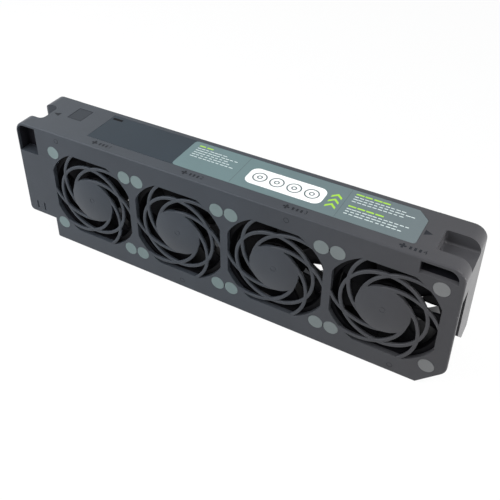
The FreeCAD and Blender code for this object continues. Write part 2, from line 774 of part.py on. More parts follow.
def make_connectors():
    """The board in the left bay, the blind-mate plug in the floor of the bay and a header for each fan."""
    board = new_body("connector_board", y=front_y)
    card = sketch_on(board, "YZ_Plane", "card_outline", board_x)
    half = board_width / 2
    rectangle(card, bay_middle - half, bay_middle + half, board_base, board_base + board_height)
    feature(board, "Pad", "card", card, Length=board_wall, Reversed=True)
    plug = new_body("blind_connector", y=front_y)
    base = tab_base + plug_lift
    shell = sketch_on(plug, "XY_Plane", "plug_outline", base)
    half = plug_width / 2
    rectangle(shell, plug_x - plug_thick, plug_x, bay_middle - half, bay_middle + half)
    feature(plug, "Pad", "plug_shell", shell, Length=plug_height)
    contact = sketch_on(plug, "XY_Plane", "contact_outline", base)
    first = bay_middle - contact_pitch * ((contact_count - 1) / 2)
    for across in (plug_thick * 0.3, plug_thick * 0.7):
        left = plug_x - across - contact_width / 2
        rectangle(contact, left, left + contact_width, first - contact_width / 2, first + contact_width / 2)
    hole = feature(plug, "Pocket", "contact", contact, Length=contact_depth, Reversed=True)
    row(plug, "contacts", [hole], "Y_Axis", contact_pitch * (contact_count - 1), contact_count)
    headers = new_body("fan_headers", y=front_y)
    low = board_base + header_base
    shell = sketch_on(headers, "YZ_Plane", "header_outline", plug_x)
    half = header_width / 2
    rectangle(shell, bay_middle - half, bay_middle + half, low, low + header_height)
    pad = feature(headers, "Pad", "header", shell, Length=header_thick, Reversed=True)
    mouth = sketch_on(headers, "YZ_Plane", "header_mouth_outline", plug_x - header_thick)
    inner = half - header_wall
    rectangle(mouth, bay_middle - inner, bay_middle + inner,
              low + header_wall, low + header_height - header_wall)
    cut = feature(headers, "Pocket", "header_mouth", mouth,
                  Length=header_thick - header_wall, Reversed=True)
    row(headers, "headers", [pad, cut], "Z_Axis", header_pitch * (fan_count - 1), fan_count)


def make_fan_frame(index):
    """The fan housing: two flanges, barrel with a flared inlet, outlet vanes, motor base, bearing tube."""
    body = new_body(f"fan_frame_{index + 1}", fan_x(index), motor_y, fan_height)
    half = fan_size / 2
    straight = half - flange_round
    corners = [(straight, -half), (half, -straight), (half, straight), (straight, half),
               (-straight, half), (-half, straight), (-half, -straight), (-straight, -half)]
    for name, front in (("front_flange", NONE), ("rear_flange", fan_depth - flange_wall)):
        square = sketch_on(body, "XZ_Plane", f"{name}_outline", -front)
        outline(square, corners, {corner: (flange_round, 1) for corner in (0, 2, 4, 6)})
        feature(body, "Pad", name, square, Length=flange_wall, Reversed=True)
    barrel = sketch_on(body, "XZ_Plane", "barrel_outline")
    circle(barrel, NONE, NONE, barrel_radius)
    feature(body, "Pad", "barrel", barrel, Length=fan_depth, Reversed=True)
    places = [(NONE, NONE), (bore_radius + inlet_flare, NONE), (bore_radius, flange_wall),
              (bore_radius, fan_depth), (NONE, fan_depth)]
    turned(body, "Groove", "bore", places)
    holes = sketch_on(body, "XZ_Plane", "hole_outline")
    for across in (-half_spacing, half_spacing):
        for up in (-half_spacing, half_spacing):
            circle(holes, across, up, stem_radius + stem_clearance)
    feature(body, "Pocket", "mounting_holes", holes, Type="ThroughAll")
    vane = sketch_on(body, "XZ_Plane", "vane_outline", -vane_front)
    turn_about(vane, "AttachmentOffset", Vector(0, 0, 1), vane_turn)
    inner = hub_radius - vane_root
    outer = bore_radius + (barrel_radius - bore_radius) / 3
    side = vane_wall / 2
    places = [(inner, -side), (outer, vane_sweep - side), (outer, vane_sweep + side), (inner, side)]
    outline(vane, places, {0: (vane_bend, 1), 2: (vane_bend, -1)})
    first = feature(body, "Pad", "vane", vane, Length=base_back - vane_front, Reversed=True)
    polar(body, "vanes", [first], vane_count)
    turned(body, "Groove", "hub_space",
           ring_places(NONE, hub_radius + vane_clearance, flange_wall, base_front))
    ledge = bearing_seat - bearing_ledge
    tube_ledge = tube_front + bearing_width
    places = [(bearing_seat, tube_front), (tube_radius, tube_front), (tube_radius, core_back),
              (seat_radius, core_back), (seat_radius, board_back), (board_seat, board_back),
              (board_seat, base_front), (hub_radius, base_front), (hub_radius, base_back),
              (bearing_seat, base_back), (bearing_seat, rear_bearing), (ledge, rear_bearing),
              (ledge, tube_ledge), (bearing_seat, tube_ledge)]
    turned(body, "Revolution", "motor_base", places)


def make_impeller(index):
    """The rotor's plastic part: a rounded hub cup, a shaft boss and twisted blades trimmed to the bore."""
    body = new_body(f"impeller_{index + 1}", fan_x(index), motor_y, fan_height)
    turn_about(body, "Placement", Vector(0, -1, 0), rest_turns[index])
    boss_back = wall_front + hub_boss_length
    bore = shaft_radius + press_clearance
    places = [(NONE, hub_front), (hub_radius - hub_round, hub_front), (hub_radius, hub_front + hub_round),
              (hub_radius, hub_back), (cup_radius, hub_back), (cup_radius, wall_front),
              (hub_boss, wall_front), (hub_boss, boss_back), (bore, boss_back), (bore, shaft_seat),
              (NONE, shaft_seat)]
    turned(body, "Revolution", "hub", places, {1: (hub_round, 1)})
    skew = blade_wall / DIAGONAL
    tip_front = blade_front + tip_drop
    tip_back = blade_back - tip_drop
    root_places = [(skew - root_half, blade_front - skew), (root_half + skew, blade_back - skew),
                   (root_half, blade_back), (-root_half, blade_front)]
    tip_places = [(skew - tip_half, tip_front - skew), (tip_half + skew, tip_back - skew),
                  (tip_half, tip_back), (-tip_half, tip_front)]
    sections = []
    ends = (("root", root_height, root_places, root_bend), ("tip", bore_radius, tip_places, tip_bend))
    for name, up, places, bend in ends:
        section = sketch_on(body, "XY_Plane", f"{name}_outline", up)
        outline(section, places, {0: (bend, 1), 2: (bend, -1)})
        sections.append(section)
    blade = feature(body, "AdditiveLoft", "blade", sections[0], Sections=sections[1:], Ruled=True)
    polar(body, "blades", [blade], blade_count)
    turned(body, "Groove", "cup", ring_places(hub_boss, cup_radius, wall_front, fan_depth))
    trim = sketch_on(body, "XZ_Plane", "tip_trim_outline")
    between_blades = FreeCAD.Rotation(Vector(0, 0, 1), 90 - 540 / blade_count)
    trim.AttachmentOffset = FreeCAD.Placement(Vector(), between_blades)
    circle(trim, NONE, NONE, tip_radius)
    circle(trim, NONE, NONE, fan_size)
    feature(body, "Pocket", "tip_trim", trim, Type="ThroughAll")


def make_rotor_ring(label, index, outer, wall, front, ring_length):
    body = new_body(f"{label}_{index + 1}", fan_x(index), motor_y, fan_height)
    turned(body, "Revolution", label, ring_places(outer - wall, outer, front, front + ring_length))


def make_shaft(index):
    body = new_body(f"shaft_{index + 1}", fan_x(index), motor_y, fan_height)
    turned(body, "Revolution", "shaft",
           ring_places(NONE, shaft_radius, shaft_seat, shaft_seat + shaft_length))


def make_bearings(index):
    """The two bearings, each against a ledge of the tube."""
    body = new_body(f"bearings_{index + 1}", fan_x(index), motor_y, fan_height)
    for name, front in (("front_bearing", tube_front), ("rear_bearing", rear_bearing)):
        places = ring_places(shaft_radius + running_fit, bearing_radius, front, front + bearing_width)
        turned(body, "Revolution", name, places)


def make_stator(index):
    """The four-pole laminated core and its coils, one round the neck of each pole."""
    core = new_body(f"stator_core_{index + 1}", fan_x(index), motor_y, fan_height)
    stack = sketch_on(core, "XZ_Plane", "stack_outline", -core_front)
    circle(stack, NONE, NONE, core_radius)
    circle(stack, NONE, NONE, tube_radius + press_clearance)
    feature(core, "Pad", "stack", stack, Length=core_length, Reversed=True)
    shoe = core_radius - shoe_wall
    slot = sketch_on(core, "XZ_Plane", "slot_outline", -core_front)
    neck = pole_width / 2
    corner = root(core_hub * core_hub - neck * neck)
    shoe_corner = root(shoe * shoe - neck * neck)
    side = slot_width / 2 / DIAGONAL
    reach = root(shoe * shoe - slot_width * slot_width / 4) / DIAGONAL
    places = [(corner, neck), (shoe_corner, neck), (reach + side, reach - side),
              (core_radius + side, core_radius - side), (core_radius - side, core_radius + side),
              (reach - side, reach + side), (neck, shoe_corner), (neck, corner)]
    outline(slot, places, {1: (shoe, 1), 5: (shoe, 1), 7: (core_hub, -1)})
    first = feature(core, "Pocket", "slot", slot, Length=core_length)
    polar(core, "slots", [first], pole_count)
    coils = new_body(f"windings_{index + 1}", fan_x(index), motor_y, fan_height)
    half = coil_width / 2
    inside = core_hub + coil_clearance
    outside = root(shoe * shoe - half * half) - coil_clearance
    coil = sketch_on(coils, "YZ_Plane", "coil_outline", inside)
    rectangle(coil, core_front - coil_overhang, core_back + coil_overhang, -half, half)
    rectangle(coil, core_front, core_back, -neck, neck)
    first = feature(coils, "Pad", "coil", coil, Length=outside - inside)
    polar(coils, "coils", [first], pole_count)


def make_motor_board(index):
    body = new_body(f"motor_board_{index + 1}", fan_x(index), motor_y, fan_height)
    ring = ring_places(seat_radius + press_clearance, board_radius, board_front, board_back)
    turned(body, "Revolution", "motor_board", ring)


make_front_panel()
make_top_cover()
make_base_tray()
make_rear_cover()
make_left_end()
make_right_end()
make_labels()
make_connectors()
for number_in_row in range(fan_count):
    make_guard(number_in_row)
    make_isolators(number_in_row)
    make_fan_frame(number_in_row)
    make_impeller(number_in_row)
    make_rotor_ring("rotor_yoke", number_in_row, yoke_outer, yoke_wall, wall_front,
                    hub_length - hub_wall - hub_wall)
    make_rotor_ring("magnet_ring", number_in_row, magnet_outer, magnet_wall,
                    core_middle - magnet_length / 2, magnet_length)
    make_shaft(number_in_row)
    make_bearings(number_in_row)
    make_stator(number_in_row)
    make_motor_board(number_in_row)

doc.recompute()
for item in doc.Objects:
    if "Invalid" in item.State or "Error" in item.State:
        raise RuntimeError(f"{item.Name} did not build: {item.State}")
os.makedirs("parts", exist_ok=True)
for body in nodes:
    if body.Shape.isNull() or not body.Shape.isValid():
        raise RuntimeError(f"{body.Label} has no valid solid")
    body.Shape.exportStep(f"parts/{body.Label}.step")
    print(body.Label, len(body.Shape.Solids), round(body.Shape.Volume))
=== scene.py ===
# %% [markdown]
# # A hot-swap fan module
# The CAD model is the fixed frame of this scene: every case moulding, fan and motor piece comes from it, at
# real size and in metres. This file adds what CAD leaves out: softened edges, moulded-in marks, the printed
# label, screws, finishes, light and the camera.

# %% Load the frame
import json
from math import cos, pi, radians, sin, tau

import bmesh
import bpy
from mathutils import Matrix, Vector


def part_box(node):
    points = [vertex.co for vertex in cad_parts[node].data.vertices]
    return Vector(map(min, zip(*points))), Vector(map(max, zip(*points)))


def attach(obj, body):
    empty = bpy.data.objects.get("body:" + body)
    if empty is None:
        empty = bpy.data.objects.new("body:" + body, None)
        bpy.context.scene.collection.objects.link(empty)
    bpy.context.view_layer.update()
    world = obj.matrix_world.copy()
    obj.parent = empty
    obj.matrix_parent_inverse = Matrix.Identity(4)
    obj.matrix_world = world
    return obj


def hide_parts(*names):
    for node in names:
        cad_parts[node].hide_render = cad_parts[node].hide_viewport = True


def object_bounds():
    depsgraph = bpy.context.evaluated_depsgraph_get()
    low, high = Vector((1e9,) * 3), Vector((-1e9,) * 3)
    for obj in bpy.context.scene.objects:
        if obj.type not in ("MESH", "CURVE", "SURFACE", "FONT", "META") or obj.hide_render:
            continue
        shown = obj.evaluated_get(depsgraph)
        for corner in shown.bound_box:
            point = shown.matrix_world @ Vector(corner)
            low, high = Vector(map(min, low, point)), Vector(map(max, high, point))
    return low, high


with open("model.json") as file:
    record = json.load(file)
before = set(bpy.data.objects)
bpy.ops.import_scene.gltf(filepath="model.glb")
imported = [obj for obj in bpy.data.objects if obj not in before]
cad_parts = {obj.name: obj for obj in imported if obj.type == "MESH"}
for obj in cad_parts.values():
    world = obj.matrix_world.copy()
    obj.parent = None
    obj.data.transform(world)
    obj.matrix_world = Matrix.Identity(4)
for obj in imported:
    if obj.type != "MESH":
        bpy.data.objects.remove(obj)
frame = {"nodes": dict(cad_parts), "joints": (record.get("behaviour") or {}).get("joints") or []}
nodes = frame["nodes"]
cad_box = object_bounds()
MM = 0.001
FANS = (1, 2, 3, 4)
fan_centres = [Vector(joint["pos_m"]) for joint in frame["joints"]]
front_y = cad_box[0].y
roof_z = cad_box[1].z
print("nodes", len(nodes), "case", [round(size / MM, 1) for size in cad_box[1] - cad_box[0]])

# %% [markdown]
# ## Camera
# The photograph looks down on the front from the right. The isolators, the straight edges of the case and the
# label fix where the camera stood, so the camera is set by place, turn and focal length. The photograph is a
# crop, so the optical axis isn't in its middle, and the lens shift makes up for that.

# %% Place the camera
scene = bpy.context.scene
camera_place = (0.2679, -0.4494, 0.4853)
azimuth = radians(29.94)
elevation = radians(34.10)
roll = radians(-0.235)
image_width = 500
focal_pixels = 739.5
axis_pixel = (235.6, 165.3)


def add_object(name, data):
    """Link a new object with the given data to the scene."""
    item = bpy.data.objects.new(name, data)
    scene.collection.objects.link(item)
    return item


camera = add_object("camera", bpy.data.cameras.new("camera"))
turn = Matrix.Rotation(azimuth, 4, "Z")
tilt = Matrix.Rotation(pi / 2 - elevation, 4, "X")
camera.matrix_world = Matrix.Translation(camera_place) @ turn @ tilt @ Matrix.Rotation(roll, 4, "Z")
camera.data.sensor_width = 36
camera.data.lens = focal_pixels / image_width * camera.data.sensor_width
camera.data.shift_x = 0.5 - axis_pixel[0] / image_width
camera.data.shift_y = axis_pixel[1] / image_width - 0.5
scene.camera = camera
print("lens", round(camera.data.lens, 2), "mm")

# %% [markdown]
# ## Light and floor
# The module stands on a white sweep under a soft sky. The floor and the world show as white to the camera, to
# glossy rays and through gaps. The right end is seen at a grazing angle, so it mirrors that white and is the
# palest face. The floor still takes some of the module's shadow. Light, finishes and some shapes of this file
# are node trees, so a small class that adds nodes and fills their inputs comes first.

# %% Helper for node trees


class Tree:
    """A node tree that is built a node at a time."""

    def __init__(self, group):
        self.group = group

    def fill(self, node, values):
        """Set inputs of a node to values, or link them to sockets or to the first output of other nodes."""
        for key, value in values.items():
            if isinstance(value, bpy.types.Node):
                value = value.outputs[0]
            if isinstance(value, bpy.types.NodeSocket):
                self.group.links.new(value, node.inputs[key])
            else:
                node.inputs[key].default_value = value

    def add(self, kind, values=None, **settings):
        node = self.group.nodes.new(kind)
        for key, value in settings.items():
            setattr(node, key, value)
        self.fill(node, values or {})
        return node

    def maths(self, operation, first, second):
        return self.add("ShaderNodeMath", {0: first, 1: second}, operation=operation)

    def times(self, first, second):
        return self.maths("MULTIPLY", first, second)

    def vector(self, x=0.0, y=0.0, z=0.0):
        return self.add("ShaderNodeCombineXYZ", {"X": x, "Y": y, "Z": z})


print("helper for node trees ready")

# %% Build the world and the floor
sky_colour = (0.93, 0.97, 1.0, 1)
horizon_level = 0.05
zenith_level = 0.45
floor_half = 6.0
paper_colour = (0.7, 0.7, 0.7, 1)
paper_roughness = 0.9
paper_glow = 1.04
glow_share = 0.9


def seen_directly(tree):
    """A node whose result is 1 for camera, glossy and transmission rays."""
    rays = tree.add("ShaderNodeLightPath").outputs
    direct = tree.maths("MAXIMUM", rays["Is Camera Ray"], rays["Is Glossy Ray"])
    return tree.maths("MAXIMUM", direct, rays["Is Transmission Ray"])


def build_world():
    """A sky that grows brighter from the horizon to the zenith, and is white where it is seen directly."""
    world = bpy.data.worlds.new("white_studio")
    world.use_nodes = True
    tree = Tree(world.node_tree)
    direction = tree.add("ShaderNodeTexCoord").outputs["Generated"]
    height = tree.add("ShaderNodeSeparateXYZ", {0: direction}).outputs["Z"]
    strength = tree.add("ShaderNodeMapRange", {
        "Value": height, "From Min": 0.0, "From Max": 1.0, "To Min": horizon_level, "To Max": zenith_level})
    soft = tree.group.nodes["Background"]
    tree.fill(soft, {"Color": sky_colour, "Strength": strength})
    white = tree.add("ShaderNodeBackground", {"Color": (1, 1, 1, 1), "Strength": 1.0})
    mix = tree.add("ShaderNodeMixShader", {"Fac": seen_directly(tree), 1: soft, 2: white})
    tree.fill(tree.group.nodes["World Output"], {"Surface": mix})
    scene.world = world


def build_floor(half):
    """A wide sheet of paper that glows where it is seen directly."""
    mesh = bpy.data.meshes.new("floor")
    corners = [(-half, -half, 0), (half, -half, 0), (half, half, 0), (-half, half, 0)]
    mesh.from_pydata(corners, [], [(0, 1, 2, 3)])
    floor = add_object("floor", mesh)
    material = bpy.data.materials.new("white_sweep")
    material.use_nodes = True
    tree = Tree(material.node_tree)
    paper = tree.group.nodes["Principled BSDF"]
    tree.fill(paper, {"Base Color": paper_colour, "Roughness": paper_roughness})
    glow = tree.add("ShaderNodeEmission", {"Strength": paper_glow})
    share = tree.times(seen_directly(tree), glow_share)
    mix = tree.add("ShaderNodeMixShader", {"Fac": share, 1: paper, 2: glow})
    tree.fill(tree.group.nodes["Material Output"], {"Surface": mix})
    mesh.materials.append(material)


scene.view_settings.view_transform = "Standard"
build_world()
build_floor(floor_half)
print("floor", 2 * floor_half, "m wide")

# %% [markdown]
# Five round lamps shape the light: broad ones above the left half and before it, and smaller ones over,
# beyond and before the right end. The colder ones are on the left, where the case looks bluer in the
# photograph.

# %% Hang the lamps


def add_lamp(name, place, aim, size, power, colour):
    data = bpy.data.lights.new(name, "AREA")
    data.shape = "DISK"
    data.size = size
    data.energy = power
    data.color = colour
    lamp = add_object(name, data)
    lamp.location = place
    lamp.rotation_euler = (Vector(aim) - Vector(place)).to_track_quat("-Z", "Y").to_euler()


add_lamp("overhead", (-0.55, 0.1, 0.8), (-0.1, 0, 0.06), 1.2, 2.4, (0.94, 0.98, 1.0))
add_lamp("over_right", (0.42, -0.03, 0.4), (0.2, 0, 0.12), 0.25, 0.9, (1.0, 0.98, 0.99))
add_lamp("right_end", (1.2, 0.1, 0.06), (0.2, 0.02, 0.06), 0.12, 8, (1.0, 0.97, 0.94))
add_lamp("front_left", (-0.55, -0.42, 0.55), (-0.08, 0, 0.06), 1.0, 8.4, (0.96, 0.97, 1.0))
add_lamp("front_right", (0.6, -0.3, 0.5), (0.18, 0, 0.08), 0.4, 1.4, (1.0, 0.98, 0.97))

# %% [markdown]
# ## Finishes
# Nearly all of the module is one dark grey moulding plastic with a fine spark-eroded grain. Each finish mixes
# two noises: a slow one shifts colour and gloss a little over a hand's breadth, and a fine one gives the
# grain as bump. One helper builds them all, with the sizes of grain and drift as its inputs. Where a second
# colour is given, the finish passes to it towards the right end. That blend is painted light: it stands in
# for the different light and tint that fall on the right end.

# %% Define a finish
# where the painted light of the right end begins and ends along X
painted_light_start = 20 * MM
painted_light_end = 190 * MM
drift_scale = 28.0
drift_detail = 4.0
drift_stops = (0.3, 0.7)
grain_detail = 2.0
grain_relief = 0.5
gloss_spread = 0.05


def drift_ramp(tree, noise, colour, drift):
    """A node with the colour, a little darker and lighter as the noise falls and rises."""
    ramp = tree.add("ShaderNodeValToRGB", {"Fac": noise})
    for stop, position, share in zip(ramp.color_ramp.elements, drift_stops, (1 - drift, 1 + drift)):
        stop.position = position
        stop.color = (*[value * share for value in colour], 1)
    return ramp


def blend_along(tree, place, left, right):
    """A socket that passes from the left colour to the right one along X, as painted light."""
    across = tree.add("ShaderNodeSeparateXYZ", {0: place}).outputs["X"]
    share = tree.add("ShaderNodeMapRange", {"Value": across, "From Min": painted_light_start, "From Max": painted_light_end})
    blend = tree.add("ShaderNodeMix", {"Factor": share, "A": left, "B": right}, data_type="RGBA")
    return blend.outputs["Result"]


def finish(name, colour, roughness, grain=0.00035, bump=0.15, drift=0.06, metallic=0.0, shine=0.5,
           right=None):
    """A material of one colour, or of two that blend along X as painted light, with slow drift and a fine
    grain.
    """
    material = bpy.data.materials.new(name)
    material.use_nodes = True
    tree = Tree(material.node_tree)
    place = tree.add("ShaderNodeTexCoord").outputs["Object"]
    slow = tree.add("ShaderNodeTexNoise", {"Vector": place, "Scale": drift_scale, "Detail": drift_detail})
    fine = tree.add("ShaderNodeTexNoise", {"Vector": place, "Scale": 1.0 / grain, "Detail": grain_detail})
    shade = drift_ramp(tree, slow, colour, drift)
    # painted light: pass to the second colour towards the right end
    if right:
        shade = blend_along(tree, place, shade, drift_ramp(tree, slow, right, drift))
    gloss = tree.add("ShaderNodeMapRange", {
        "Value": slow, "To Min": roughness - gloss_spread, "To Max": roughness + gloss_spread})
    relief = tree.add("ShaderNodeBump", {"Height": fine, "Strength": bump, "Distance": grain * grain_relief})
    tree.fill(tree.group.nodes["Principled BSDF"], {
        "Base Color": shade, "Roughness": gloss, "Normal": relief, "Metallic": metallic,
        "Specular IOR Level": shine})
    return material


def ink(name, colour, drift=0.03):
    return finish(name, colour, roughness=0.4, bump=0.02, drift=drift)


def metal(name, colour, roughness, bump=0.05, grain=0.00035):
    return finish(name, colour, roughness, grain, bump, metallic=1.0)


print("helpers for finishes ready")

# %% Mix the finishes
# the second colours of the case, the light film and the rubber are painted light at the right end
case_plastic = finish("case_plastic", (0.044, 0.051, 0.061), 0.3, shine=0.16, right=(0.053, 0.053, 0.057))
# painted shade: a darker colour for the insides of the finger pockets, where little light reaches
pocket_painted_shade = finish("pocket_painted_shade", (0.016, 0.016, 0.02), 0.6, shine=0.05)
# ink for the roof marks, and painted shade in the gate marks on the front
mark_ink_and_painted_shade = finish("mark_ink_and_painted_shade", (0.019, 0.021, 0.025), 0.6, shine=0.1)
# painted shade: black for the slot on the dark film and for the nicks on the front
slot_painted_shade = finish("slot_painted_shade", (0.004, 0.004, 0.005), 0.5, shine=0.05)
panel_shade = finish("panel_shade", (0.03, 0.035, 0.042), 0.55, shine=0.16)
dark_film = finish("dark_film", (0.026, 0.036, 0.046), 0.45, bump=0.04, shine=0.12)
label_film = finish("label_film", (0.135, 0.2, 0.205), 0.45, bump=0.03, drift=0.04, shine=0.15,
                    right=(0.12, 0.143, 0.15))
label_white = ink("label_white", (0.93, 0.95, 0.93), 0.02)
text_white = ink("text_white", (0.6, 0.68, 0.67), 0.02)
label_green = ink("label_green", (0.33, 0.62, 0.03))
label_line = ink("label_line", (0.06, 0.09, 0.095))
isolator_rubber = finish("isolator_rubber", (0.158, 0.206, 0.205), 0.7, grain=0.0005, bump=0.2, drift=0.05,
                         shine=0.2, right=(0.17, 0.174, 0.174))
fan_plastic = finish("fan_plastic", (0.004, 0.004, 0.005), 0.5, shine=0.06)
board_mask = finish("board_mask", (0.02, 0.13, 0.05), 0.35, bump=0.05)
plug_plastic = finish("plug_plastic", (0.012, 0.012, 0.014), 0.4, shine=0.3)
header_plastic = finish("header_plastic", (0.72, 0.69, 0.6), 0.4, bump=0.05)
yoke_steel = metal("yoke_steel", (0.5, 0.5, 0.51), 0.35)
ground_steel = metal("ground_steel", (0.62, 0.62, 0.64), 0.22, bump=0.03)
core_steel = metal("core_steel", (0.3, 0.31, 0.33), 0.45, bump=0.15, grain=0.0006)
copper_wire = metal("copper_wire", (0.72, 0.32, 0.13), 0.35, bump=0.4, grain=0.0005)
ferrite = finish("ferrite", (0.05, 0.046, 0.043), 0.7)
screw_zinc = metal("screw_zinc", (0.55, 0.56, 0.58), 0.3)
contact_gold = metal("contact_gold", (0.83, 0.6, 0.24), 0.25, bump=0.03)
print("finishes", len(bpy.data.materials))

# %% Give each CAD node its finish
kind_finish = {
    "blank_label": dark_film, "instruction_label": label_film, "connector_board": board_mask,
    "blind_connector": plug_plastic, "fan_headers": header_plastic, "isolators": isolator_rubber,
    "fan_frame": fan_plastic, "impeller": fan_plastic, "rotor_yoke": yoke_steel, "magnet_ring": ferrite,
    "shaft": ground_steel, "bearings": ground_steel, "stator_core": core_steel, "windings": copper_wire,
    "motor_board": board_mask}
for name, node in nodes.items():
    kind = name[:-2] if name[-1].isdigit() else name
    node.data.materials.clear()
    node.data.materials.append(kind_finish.get(kind, case_plastic))
print("painted", len(nodes))

# %% [markdown]
# ## Guards
# Each fan looks out through a swirl guard: a flat hub disc, a ring and six bars that leave the hub as
# tangents and curl outwards to the window's edge. On the real moulding the bars have round edges and little
# of their sides shows, so each is a path with a rounded section swept along it, narrower at the back than at
# the front. A Geometry Nodes tree draws one bar as an arc, repeats it round the axis and adds the ring with
# the same section, so the whole swirl follows from a few named sizes.

# %% Helpers for pieces made here


def add_piece(name, mesh, material):
    """Link a finished mesh as a piece that rides on the housing."""
    piece = add_object(name, mesh)
    mesh.materials.clear()
    mesh.materials.append(material)
    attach(piece, "housing")
    return piece


def baked_mesh(holder, name):
    """The result of an object's modifiers as a plain mesh. The object is removed."""
    bpy.context.view_layer.update()
    evaluated = holder.evaluated_get(bpy.context.evaluated_depsgraph_get())
    mesh = bpy.data.meshes.new_from_object(evaluated)
    mesh.name = name
    bpy.data.objects.remove(holder)
    return mesh


def grow_nodes(name, tree, values):
    """Run a node tree with the given named inputs and return its mesh."""
    holder = add_object(name, bpy.data.meshes.new(name))
    modifier = holder.modifiers.new(name, "NODES")
    modifier.node_group = tree
    for item in tree.interface.items_tree:
        if item.in_out == "INPUT":
            modifier[item.identifier] = values[item.name]
    return baked_mesh(holder, name)


class ShapeTree(Tree):
    """A Geometry Nodes tree with named inputs, listed by kind."""

    def __init__(self, name, inputs):
        super().__init__(bpy.data.node_groups.new(name, "GeometryNodeTree"))
        sockets = self.group.interface
        for kind, labels in inputs.items():
            for label in labels:
                sockets.new_socket(label, in_out="INPUT", socket_type=f"NodeSocket{kind}")
        sockets.new_socket("Geometry", in_out="OUTPUT", socket_type="NodeSocketGeometry")
        self.inputs = self.add("NodeGroupInput").outputs
        self.result = self.add("NodeGroupOutput")

    def moved(self, shape, offset):
        return self.add("GeometryNodeTransform", {"Geometry": shape, "Translation": offset})

    def finish(self, geometry, material):
        real = self.add("GeometryNodeRealizeInstances", {"Geometry": geometry})
        flat = self.add("GeometryNodeSetShadeSmooth", {"Geometry": real, "Shade Smooth": False})
        painted = self.add("GeometryNodeSetMaterial", {"Geometry": flat, "Material": material})
        self.fill(self.result, {"Geometry": painted})
        return self.group


print("helpers ready")

# %% Draw the swirl of bars
hub_radius = 22.6 * MM
bar_width = 3.7 * MM
bar_depth = 3.4 * MM
bar_bend = 39.7 * MM
bar_count = 6
bar_offset = bar_bend + bar_width / 2 - hub_radius
bar_turn = radians(1.0)
bar_start = radians(66.0)
bar_sweep = radians(114.0)
bar_steps = 40
ring_steps = 96
corner_steps = 4
corner_share = 0.22


def swirl_tree():
    tree = ShapeTree("swirl_guard", {
        "Float": ["Ring radius", "Ring sink", "Bar width", "Bar back", "Bar depth", "Bar bend", "Bar offset"],
        "Int": ["Bar count"], "Material": ["Finish"]})
    source = tree.inputs
    wedge = tree.add("GeometryNodeCurvePrimitiveQuadrilateral", {
        "Bottom Width": source["Bar width"], "Top Width": source["Bar back"], "Offset": 0.0,
        "Height": source["Bar depth"]}, mode="TRAPEZOID")
    corner = tree.times(source["Bar width"], corner_share)
    section = tree.add("GeometryNodeFilletCurve", {"Curve": wedge, "Radius": corner, "Count": corner_steps},
                       mode="POLY")
    arc = tree.add("GeometryNodeCurveArc", {
        "Resolution": bar_steps, "Radius": source["Bar bend"], "Start Angle": bar_start,
        "Sweep Angle": bar_sweep})
    placed = tree.moved(arc, tree.vector(source["Bar offset"]))
    turned = tree.add("GeometryNodeTransform", {"Geometry": placed, "Rotation": (0, 0, bar_turn)})
    bar = tree.add("GeometryNodeCurveToMesh", {"Curve": turned, "Profile Curve": section, "Fill Caps": True})
    points = tree.add("GeometryNodePoints", {"Count": source["Bar count"]})
    step = tree.maths("DIVIDE", tau, source["Bar count"])
    angle = tree.times(tree.add("GeometryNodeInputIndex"), step)
    bars = tree.add("GeometryNodeInstanceOnPoints", {
        "Points": points, "Instance": bar, "Rotation": tree.vector(z=angle)})
    circle = tree.add("GeometryNodeCurvePrimitiveCircle", {
        "Resolution": ring_steps, "Radius": source["Ring radius"]})
    hoop = tree.add("GeometryNodeCurveToMesh", {"Curve": circle, "Profile Curve": section})
    ring = tree.moved(hoop, tree.vector(z=tree.times(source["Ring sink"], -1.0)))
    both = tree.add("GeometryNodeJoinGeometry")
    for shape in (bars, ring):
        tree.fill(both, {0: shape})
    return tree.finish(both, source["Finish"])


swirl = grow_nodes("swirl_bars", swirl_tree(), {
    "Ring radius": 36.2 * MM, "Ring sink": 0.06 * MM, "Bar width": bar_width, "Bar back": 1.9 * MM,
    "Bar depth": bar_depth, "Bar bend": bar_bend, "Bar offset": bar_offset, "Bar count": bar_count,
    "Finish": case_plastic})
print("swirl", len(swirl.polygons), "faces")

# %% [markdown]
# The hub is turned on a lathe profile with a softened rim and the ring that the moulding gate leaves. A web
# closes the start of the narrow gap between the hub and each bar, since a mould can't have so thin a blade
# there. Behind the panel a thin rim runs round the window, where the fan presses the guard home. One guard is
# assembled flat, with its front at zero height, and then stood up in each of the four windows. Helpers for
# such solids come first.

# %% Helpers for solids
crease_angle = radians(35)


def join_loops(work, near, far):
    """Add a band of faces between two closed loops of points. A loop may be a single point."""
    steps = max(len(near), len(far))
    for step in range(steps):
        after = (step + 1) % steps
        corners = [near[step % len(near)], near[after % len(near)]]
        corners += [far[after % len(far)], far[step % len(far)]]
        work.faces.new(list(dict.fromkeys(corners)))


def lathe(work, profile, steps):
    """Add a solid of revolution about Z from (radius, height) points that start and end on the axis."""
    rings = []
    for radius, height in profile:
        angles = [tau * step / steps for step in range(steps if radius else 1)]
        rings.append([work.verts.new((radius * cos(a), radius * sin(a), height)) for a in angles])
    for low, high in zip(rings, rings[1:]):
        join_loops(work, low, high)


def rim_plate(work, inner, outer, low, high, steps=144):
    """Add a flat closed rim between two circles that squares cut off, each a (radius, flat) pair."""
    angles = [tau * step / steps for step in range(steps)]
    loops = []
    for (radius, flat), height in ((inner, low), (outer, low), (outer, high), (inner, high)):
        reaches = [min(radius, flat / max(abs(cos(a)), abs(sin(a)))) for a in angles]
        loops.append([work.verts.new((reach * cos(a), reach * sin(a), height))
                      for reach, a in zip(reaches, angles)])
    for near, far in zip(loops, loops[1:] + loops[:1]):
        join_loops(work, near, far)


